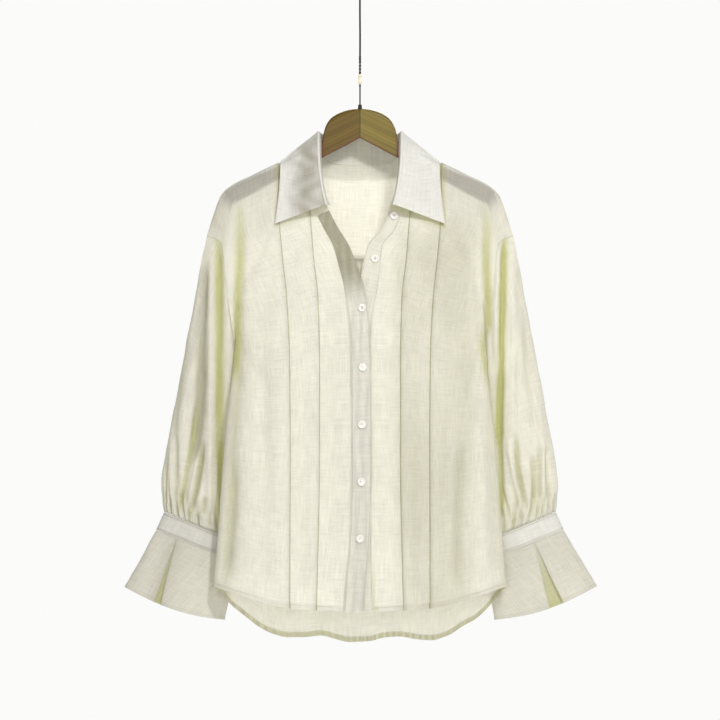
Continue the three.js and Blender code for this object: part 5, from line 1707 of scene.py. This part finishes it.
def thread_material(look_of):
    material, tree = new_material("thread")
    spot = node(tree, "ShaderNodeTexCoord", -700, 0)
    twist = node(
        tree, "ShaderNodeTexWave", -500, 0, Vector=spot.outputs["Object"], Scale=900.0, Distortion=2.0,
        Detail=1.0,
    ).outputs["Fac"]
    colour = look_of.thread_colour
    shade = colour_mix(tree, -240, 120, twist, dimmed(colour, 0.8), colour)
    bump = node(tree, "ShaderNodeBump", -240, -120, Strength=0.4, Distance=0.0001, Height=twist)
    return finished(tree, material, shade, Normal=bump.outputs[0], Roughness=0.75, Sheen_Weight=0.2)


def worn_material(name, groups, size, contrast, low, high, dents=None, **values):
    """A plain finish that wanders between two colours; dents is the strength and depth of its bumps."""
    material, tree = new_material(name)
    handled = handled_node(tree, groups, size)
    factor = math_node(tree, -500, 60, "MULTIPLY_ADD", handled.outputs["Tone"], contrast, 0.5)
    shade = colour_mix(tree, -280, 120, factor, low, high)
    if dents:
        bump = node(
            tree, "ShaderNodeBump", -280, -120, Strength=dents[0], Distance=dents[1],
            Height=handled.outputs["Height"],
        )
        values["Normal"] = bump.outputs[0]
    return finished(tree, material, shade, **values)


def wire_material(name, groups, colour, **values):
    worn = tuple(min(1.0, 1.5 * c + 0.01) for c in colour)
    return worn_material(name, groups, 0.006, 1.4, colour, worn, (0.15, 0.0002), **values)


def wood_material(look_of):
    """Straight-grained lacquered wood with a dark mitre; painted shade darkens the wearer's right arm, the
    dome ends and the lower edge.
    """
    material, tree = new_material("wood")
    colour = look_of.wood_colour
    grain = node(tree, "ShaderNodeUVMap", -1300, 100, uv_map="grain")
    rings = stretched_noise(tree, -1100, 200, grain.outputs[0], (2.2, 300, 1), 6.0, 0.72)
    pores = stretched_noise(tree, -1100, -40, grain.outputs[0], (40, 2600, 1), 2.0, 0.6)
    bands = ramp(tree, -700, 200, rings, 0.38, 0.62)
    shade = colour_mix(tree, -480, 220, bands, dimmed(colour, 0.55), colour)
    spot = node(tree, "ShaderNodeTexCoord", -1300, -340)
    parted = node(tree, "ShaderNodeSeparateXYZ", -1100, -340, Vector=spot.outputs["Object"])
    reach = math_node(tree, -920, -340, "ABSOLUTE", parted.outputs[0])
    # painted shade, reddish-dark, where the arms run under the collar at the neck
    end_shade = ramp(tree, -740, -340, reach, *DOME_END, end=0.9, interpolation_type="SMOOTHSTEP")
    shade = colour_mix(tree, -280, 220, end_shade, shade, look_of.wood_shade_colour)
    # painted shade over the wearer's right arm
    shaded_arm = ramp(tree, -740, -620, parted.outputs[0], -0.0001, 0.0001, 1.0, 0.0)
    shade = colour_mix(tree, -160, 260, shaded_arm, shade, look_of.dark_shaded_arm_colour, "MULTIPLY")
    mitre = ramp(tree, -740, -900, reach, *MITRE, 1.0, 0.0)
    shade = colour_mix(tree, -60, 300, mitre, shade, dimmed(colour, 0.3))
    # painted shade along the arms' lower edge, where no bevel is built
    slope = math_node(tree, -740, -1180, "MULTIPLY", reach, UNDERSIDE_SHADE_SLOPE)
    level = math_node(tree, -560, -1180, "ADD", slope, parted.outputs[2])
    underside_shade = ramp(tree, -380, -1180, level, *UNDERSIDE_SHADE, 0.6, 0.0)
    shade = colour_mix(tree, 40, 300, underside_shade, shade, look_of.wood_shade_colour)
    bump = node(tree, "ShaderNodeBump", -280, -80, Strength=0.15, Distance=0.0002, Height=pores)
    return finished(
        tree, material, shade, Normal=bump.outputs[0],
        Roughness=ramp(tree, -280, 0, pores, 0.0, 1.0, 0.38, 0.55),
        Coat_Weight=0.05, Coat_Roughness=0.25, Specular_IOR_Level=0.15,
    )


MATERIALS = {}


def materials():
    """The scene's materials by name, made on first use."""
    if not MATERIALS:
        look_of = bpy.context.scene.blouse_look
        groups = SimpleNamespace(weave=slub_weave_group(), handled=handled_group())
        sheer = look_of.sheerness
        pearl, floor = look_of.pearl_colour, look_of.floor_colour
        MATERIALS.update(
            linen=linen_material("linen", groups, look_of, look_of.linen_colour, 0.32, sheer),
            double=linen_material("linen_double", groups, look_of, look_of.collar_colour, 0.2, sheer / 3),
            thread=thread_material(look_of),
            pearl=worn_material(
                "pearl", groups, 0.004, 1.6, dimmed(pearl, 0.86), pearl, (0.12, 0.0003), Roughness=0.22,
                Coat_Weight=0.5, Coat_Roughness=0.08, Subsurface_Weight=0.15, Subsurface_Scale=0.002,
            ),
            wood=wood_material(look_of),
            wire=wire_material("dark_wire", groups, look_of.wire_colour, Metallic=0.6, Roughness=0.4),
            pale=wire_material("pale_binding", groups, look_of.binding_colour, Roughness=0.6),
            floor=worn_material("floor", groups, 0.8, 1.0, dimmed(floor, 0.985), floor, Roughness=0.8),
        )
    return MATERIALS


def sizes():
    """Sizes the meshes use, in millimetres."""
    look_of = bpy.context.scene.blouse_sizes
    return SimpleNamespace(
        cloth=look_of.cloth_thickness / MM,
        double=look_of.double_thickness / MM,
        layer_pitch=look_of.cloth_thickness / MM * 1.7,
        creases=look_of.crease_depth,
        thread=look_of.thread_thickness / MM / 2,
    )


def stitched(name, rows, size):
    """A placed piece of stitch rows; a row is (path, pitch) on a front, or (path, normals, pitch)."""
    made = []
    for row in rows:
        path, pitch = row[0], row[-1]
        normals = row[1] if len(row) == 3 else with_normals(path, (0, -1, 0))
        made.append(stitches(path, normals, pitch, pitch * STITCH_FILL, size.thread))
    return place(thread_piece(name, made), "thread")


# Add-on

def length_property(name, description, default, low, high):
    return bpy.props.FloatProperty(
        name=name, description=description, default=default, min=low, max=high, unit="LENGTH",
    )


def share_property(name, description, default, high):
    return bpy.props.FloatProperty(
        name=name, description=description, default=default, min=0, max=high, subtype="FACTOR",
    )


def colour_property(name, description, default):
    return bpy.props.FloatVectorProperty(
        name=name, description=description, default=default, size=3, min=0, max=1, subtype="COLOR",
    )


class BlouseSizes(bpy.types.PropertyGroup):
    cloth_thickness: length_property("Cloth thickness", "One layer of linen", 0.0005, 0.0003, 0.001)
    double_thickness: length_property(
        "Double cloth", "Collar, cuffs and button bands", 0.0012, 0.0008, 0.002,
    )
    thread_thickness: length_property("Sewing thread", "Diameter of a stitch", 0.0007, 0.0003, 0.001)
    crease_depth: share_property("Crease depth", "Depth of the drape, 1 as photographed", 1.0, 1.3)


class BlouseLook(bpy.types.PropertyGroup):
    linen_colour: colour_property("Linen", "One layer of cloth", (0.87, 0.86, 0.80))
    collar_colour: colour_property("Doubled linen", "Collar and cuffs", (0.76, 0.75, 0.70))
    # also the colour painted shade mixes towards: crease valleys, hanger and collar on the fronts, the
    # shaded sleeve, cuff and panels
    doubled_and_shaded_colour: colour_property("Hems and bands", "Where cloth lies on cloth", (0.43, 0.405, 0.33))
    fold_colour: colour_property("Deep folds", "Light that has passed a fold", (0.62, 0.62, 0.29))
    passed_colour: colour_property("Light through the cloth", "Tint of passed light", (0.99, 0.97, 0.86))
    thread_colour: colour_property("Thread", "Sewing thread", (0.42, 0.38, 0.31))
    pearl_colour: colour_property("Buttons", "Shell-like buttons", (0.74, 0.72, 0.65))
    wood_colour: colour_property("Hanger", "Lacquered wood", (0.20, 0.15, 0.03))
    # painted shade: the wearer's right arm is darker because it lies in shade
    dark_shaded_arm_colour: colour_property("Darker arm", "Tone of the hanger's right arm", (0.68, 0.56, 0.42))
    # painted shade at the arms' ends by the neck and along their lower edges
    wood_shade_colour: colour_property("Hanger's neck ends", "End grain of the dome", (0.16, 0.06, 0.035))
    wire_colour: colour_property("Wire", "Dark wire of the hook", (0.012, 0.011, 0.011))
    binding_colour: colour_property("Binding", "Pale binding on the wire", (0.62, 0.54, 0.40))
    floor_colour: colour_property("Floor", "Studio floor", (0.86, 0.86, 0.85))
    slub_contrast: share_property("Slub contrast", "How much uneven threads show", 0.34, 1)
    sheerness: share_property("Sheerness", "Share of the cloth open between its threads", 0.42, 0.5)


class BLOUSE_OT_stage(bpy.types.Operator):
    """Floor, soft light, pale surroundings and the camera"""
    bl_idname = "blouse.stage"
    bl_label = "Studio"

    def execute(self, context):
        scene = context.scene
        mesh = bpy.data.meshes.new("floor")
        made = bmesh.new()
        bmesh.ops.create_circle(made, cap_ends=True, radius=3.6, segments=96)
        made.to_mesh(mesh)
        made.free()
        floor = bpy.data.objects.new("floor", mesh)
        floor.location.z = FLOOR_Z
        scene.collection.objects.link(floor)
        mesh.materials.append(materials()["floor"])
        for light in LIGHTS:
            add_light(*light)
        camera = bpy.data.cameras.new("camera")
        camera.lens = LENS
        camera.sensor_width = 36
        camera.clip_end = 60
        holder = bpy.data.objects.new("camera", camera)
        holder.location = CAMERA_PLACE
        holder.rotation_euler = (math.pi / 2, 0, 0)
        scene.collection.objects.link(holder)
        scene.camera = holder
        scene.world = studio_world()
        scene.view_settings.view_transform = "Standard"
        return {"FINISHED"}


def add_light(name, spot, size, power):
    """A square soft light that faces the middle of the blouse."""
    light = bpy.data.lights.new(name, "AREA")
    light.size = size
    light.energy = power
    holder = bpy.data.objects.new(name, light)
    holder.location = spot
    aim = Vector((0, 0, -0.55)) - Vector(spot)
    holder.rotation_euler = aim.to_track_quat("-Z", "Y").to_euler()
    bpy.context.scene.collection.objects.link(holder)


def studio_world():
    """Nearly white to the camera, softer as light."""
    world = bpy.data.worlds.new("studio")
    world.use_nodes = True
    tree = world.node_tree
    tree.nodes.clear()
    seen = node(tree, "ShaderNodeBackground", -200, 100, Color=(0.965, 0.965, 0.955, 1), Strength=1.0)
    lit = node(tree, "ShaderNodeBackground", -200, -60, Color=(0.98, 0.98, 1.0, 1), Strength=0.44)
    path = node(tree, "ShaderNodeLightPath", -400, 300)
    both = node(tree, "ShaderNodeMixShader", 0, 0, Fac=path.outputs["Is Camera Ray"])
    feed(tree, both.inputs[1], lit.outputs[0])
    feed(tree, both.inputs[2], seen.outputs[0])
    node(tree, "ShaderNodeOutputWorld", 200, 0, Surface=both.outputs[0])
    return world


class BLOUSE_OT_fronts(bpy.types.Operator):
    """Both fronts with their tucks, and the stitches on them"""
    bl_idname = "blouse.fronts"
    bl_label = "Fronts"

    def execute(self, context):
        size = sizes()
        for side, name in SIDES:
            cloth = place(front(side, f"front_{name}", size), "linen", f"front_{name}")
            rows = front_stitch_rows(side, size) + tack_rows(side, size)
            thread = stitched(f"stitches_front_{name}", rows, size)
        return {"FINISHED"}


class BLOUSE_OT_button_bands(bpy.types.Operator):
    """Button band on each front, with its stitched edges"""
    bl_idname = "blouse.button_bands"
    bl_label = "Button bands"

    def execute(self, context):
        size = sizes()
        for side, name in SIDES:
            cloth = place(button_band(side, name, size), "linen", f"placket_{name}")
            thread = stitched(f"stitches_band_{name}", band_stitch_rows(side, size), size)
        return {"FINISHED"}


class BLOUSE_OT_back(bpy.types.Operator):
    """Back with its box pleat, and the yoke above it"""
    bl_idname = "blouse.back"
    bl_label = "Back and yoke"

    def execute(self, context):
        size = sizes()
        yoke = place(back_yoke(size), "linen", "back_yoke")
        cloth = place(back(size), "linen", "back")
        return {"FINISHED"}


class BLOUSE_OT_sleeves(bpy.types.Operator):
    """Full sleeves, gathered at the cuff"""
    bl_idname = "blouse.sleeves"
    bl_label = "Sleeves"

    def execute(self, context):
        size = sizes()
        for side, name in SIDES:
            cloth = place(sleeve(side, name, size), "linen", f"sleeve_{name}")
        return {"FINISHED"}


class BLOUSE_OT_cuffs(bpy.types.Operator):
    """Cuff bands with their topstitching, and the pleated flares below them"""
    bl_idname = "blouse.cuffs"
    bl_label = "Cuffs"

    def execute(self, context):
        size = sizes()
        for side, name in SIDES:
            band = place(cuff_band(side, name, size), "double", f"cuff_band_{name}")
            thread = stitched(f"stitches_cuff_{name}", cuff_stitch_rows(side, size), size)
            flare = place(cuff_flare(side, name, size), "linen", f"cuff_flare_{name}")
        return {"FINISHED"}


class BLOUSE_OT_collar(bpy.types.Operator):
    """Collar stand and the pointed leaf that rolls over it"""
    bl_idname = "blouse.collar"
    bl_label = "Collar"

    def execute(self, context):
        size = sizes()
        stand = place(collar_stand(size), "linen", "collar_stand")
        leaf = place(collar_leaf(size), "double", "collar_leaf")
        return {"FINISHED"}


class BLOUSE_OT_buttons(bpy.types.Operator):
    """Seven buttons sewn on with thread"""
    bl_idname = "blouse.buttons"
    bl_label = "Buttons"

    def execute(self, context):
        blank = drilled_button()
        shape = np.zeros(len(blank.vertices) * 3)
        blank.vertices.foreach_get("co", shape)
        shape = shape.reshape(-1, 3)
        for number, spot in enumerate(BUTTONS, 1):
            at, out = button_frame(*spot)
            spin = 0.35 * number
            mesh = blank.copy()
            placed = turned_to(shape, at, out, spin) * MM
            mesh.vertices.foreach_set("co", placed.astype(np.float32).ravel())
            mesh.update()
            place(bpy.data.objects.new(f"pearl_{number}", mesh), "pearl", f"button_{number}")
            thread = thread_piece(f"button_thread_{number}", [sewing_thread(at, out, spin)])
            outward(thread.data)
            place(thread, "thread")
        bpy.data.meshes.remove(blank)
        return {"FINISHED"}


class BLOUSE_OT_hanger(bpy.types.Operator):
    """Wooden arms, ferrule and the wire hook"""
    bl_idname = "blouse.hanger"
    bl_label = "Hanger"

    def execute(self, context):
        for side, name in SIDES:
            place(hanger_arm(side, name), "wood", f"hanger_arm_{name}")
        parts = (
            ("ferrule", revolved(FERRULE_PROFILE, 40), "wire", ("hanger_ferrule",)),
            ("hook_wire", hook_wire(), "wire", ("hanger_hook",)),
            ("hook_join", twisted_join(), "wire", ()),
            ("hook_rod", hook_rod(), "wire", ()),
            ("hook_binding", wrap(), "pale", ()),
        )
        for name, (places, quads), finish, nodes in parts:
            obj = bpy.data.objects.new(name, mesh_from(name, places * MM, quads, 45))
            outward(obj.data)
            place(obj, finish, *nodes)
        return {"FINISHED"}


class BLOUSE_PT_panel(bpy.types.Panel):
    bl_label = "Linen blouse"
    bl_idname = "BLOUSE_PT_panel"
    bl_space_type = "VIEW_3D"
    bl_region_type = "UI"
    bl_category = "Blouse"

    def draw(self, context):
        for group in (context.scene.blouse_sizes, context.scene.blouse_look):
            box = self.layout.box()
            for name in group.__annotations__:
                box.prop(group, name)
        for operator in OPERATORS:
            self.layout.operator(operator.bl_idname)


OPERATORS = (
    BLOUSE_OT_stage, BLOUSE_OT_fronts, BLOUSE_OT_button_bands, BLOUSE_OT_back, BLOUSE_OT_sleeves,
    BLOUSE_OT_cuffs, BLOUSE_OT_collar, BLOUSE_OT_buttons, BLOUSE_OT_hanger,
)
CLASSES = (BlouseSizes, BlouseLook, *OPERATORS, BLOUSE_PT_panel)


def register():
    for kind in CLASSES:
        bpy.utils.register_class(kind)
    bpy.types.Scene.blouse_sizes = bpy.props.PointerProperty(type=BlouseSizes)
    bpy.types.Scene.blouse_look = bpy.props.PointerProperty(type=BlouseLook)


def unregister():
    del bpy.types.Scene.blouse_look
    del bpy.types.Scene.blouse_sizes
    for kind in reversed(CLASSES):
        bpy.utils.unregister_class(kind)


def main():
    register()
    bpy.ops.blouse.stage()
    bpy.ops.blouse.fronts()
    bpy.ops.blouse.button_bands()
    bpy.ops.blouse.back()
    bpy.ops.blouse.sleeves()
    bpy.ops.blouse.cuffs()
    bpy.ops.blouse.collar()
    bpy.ops.blouse.buttons()
    bpy.ops.blouse.hanger()


if __name__ == "__main__":
    main()
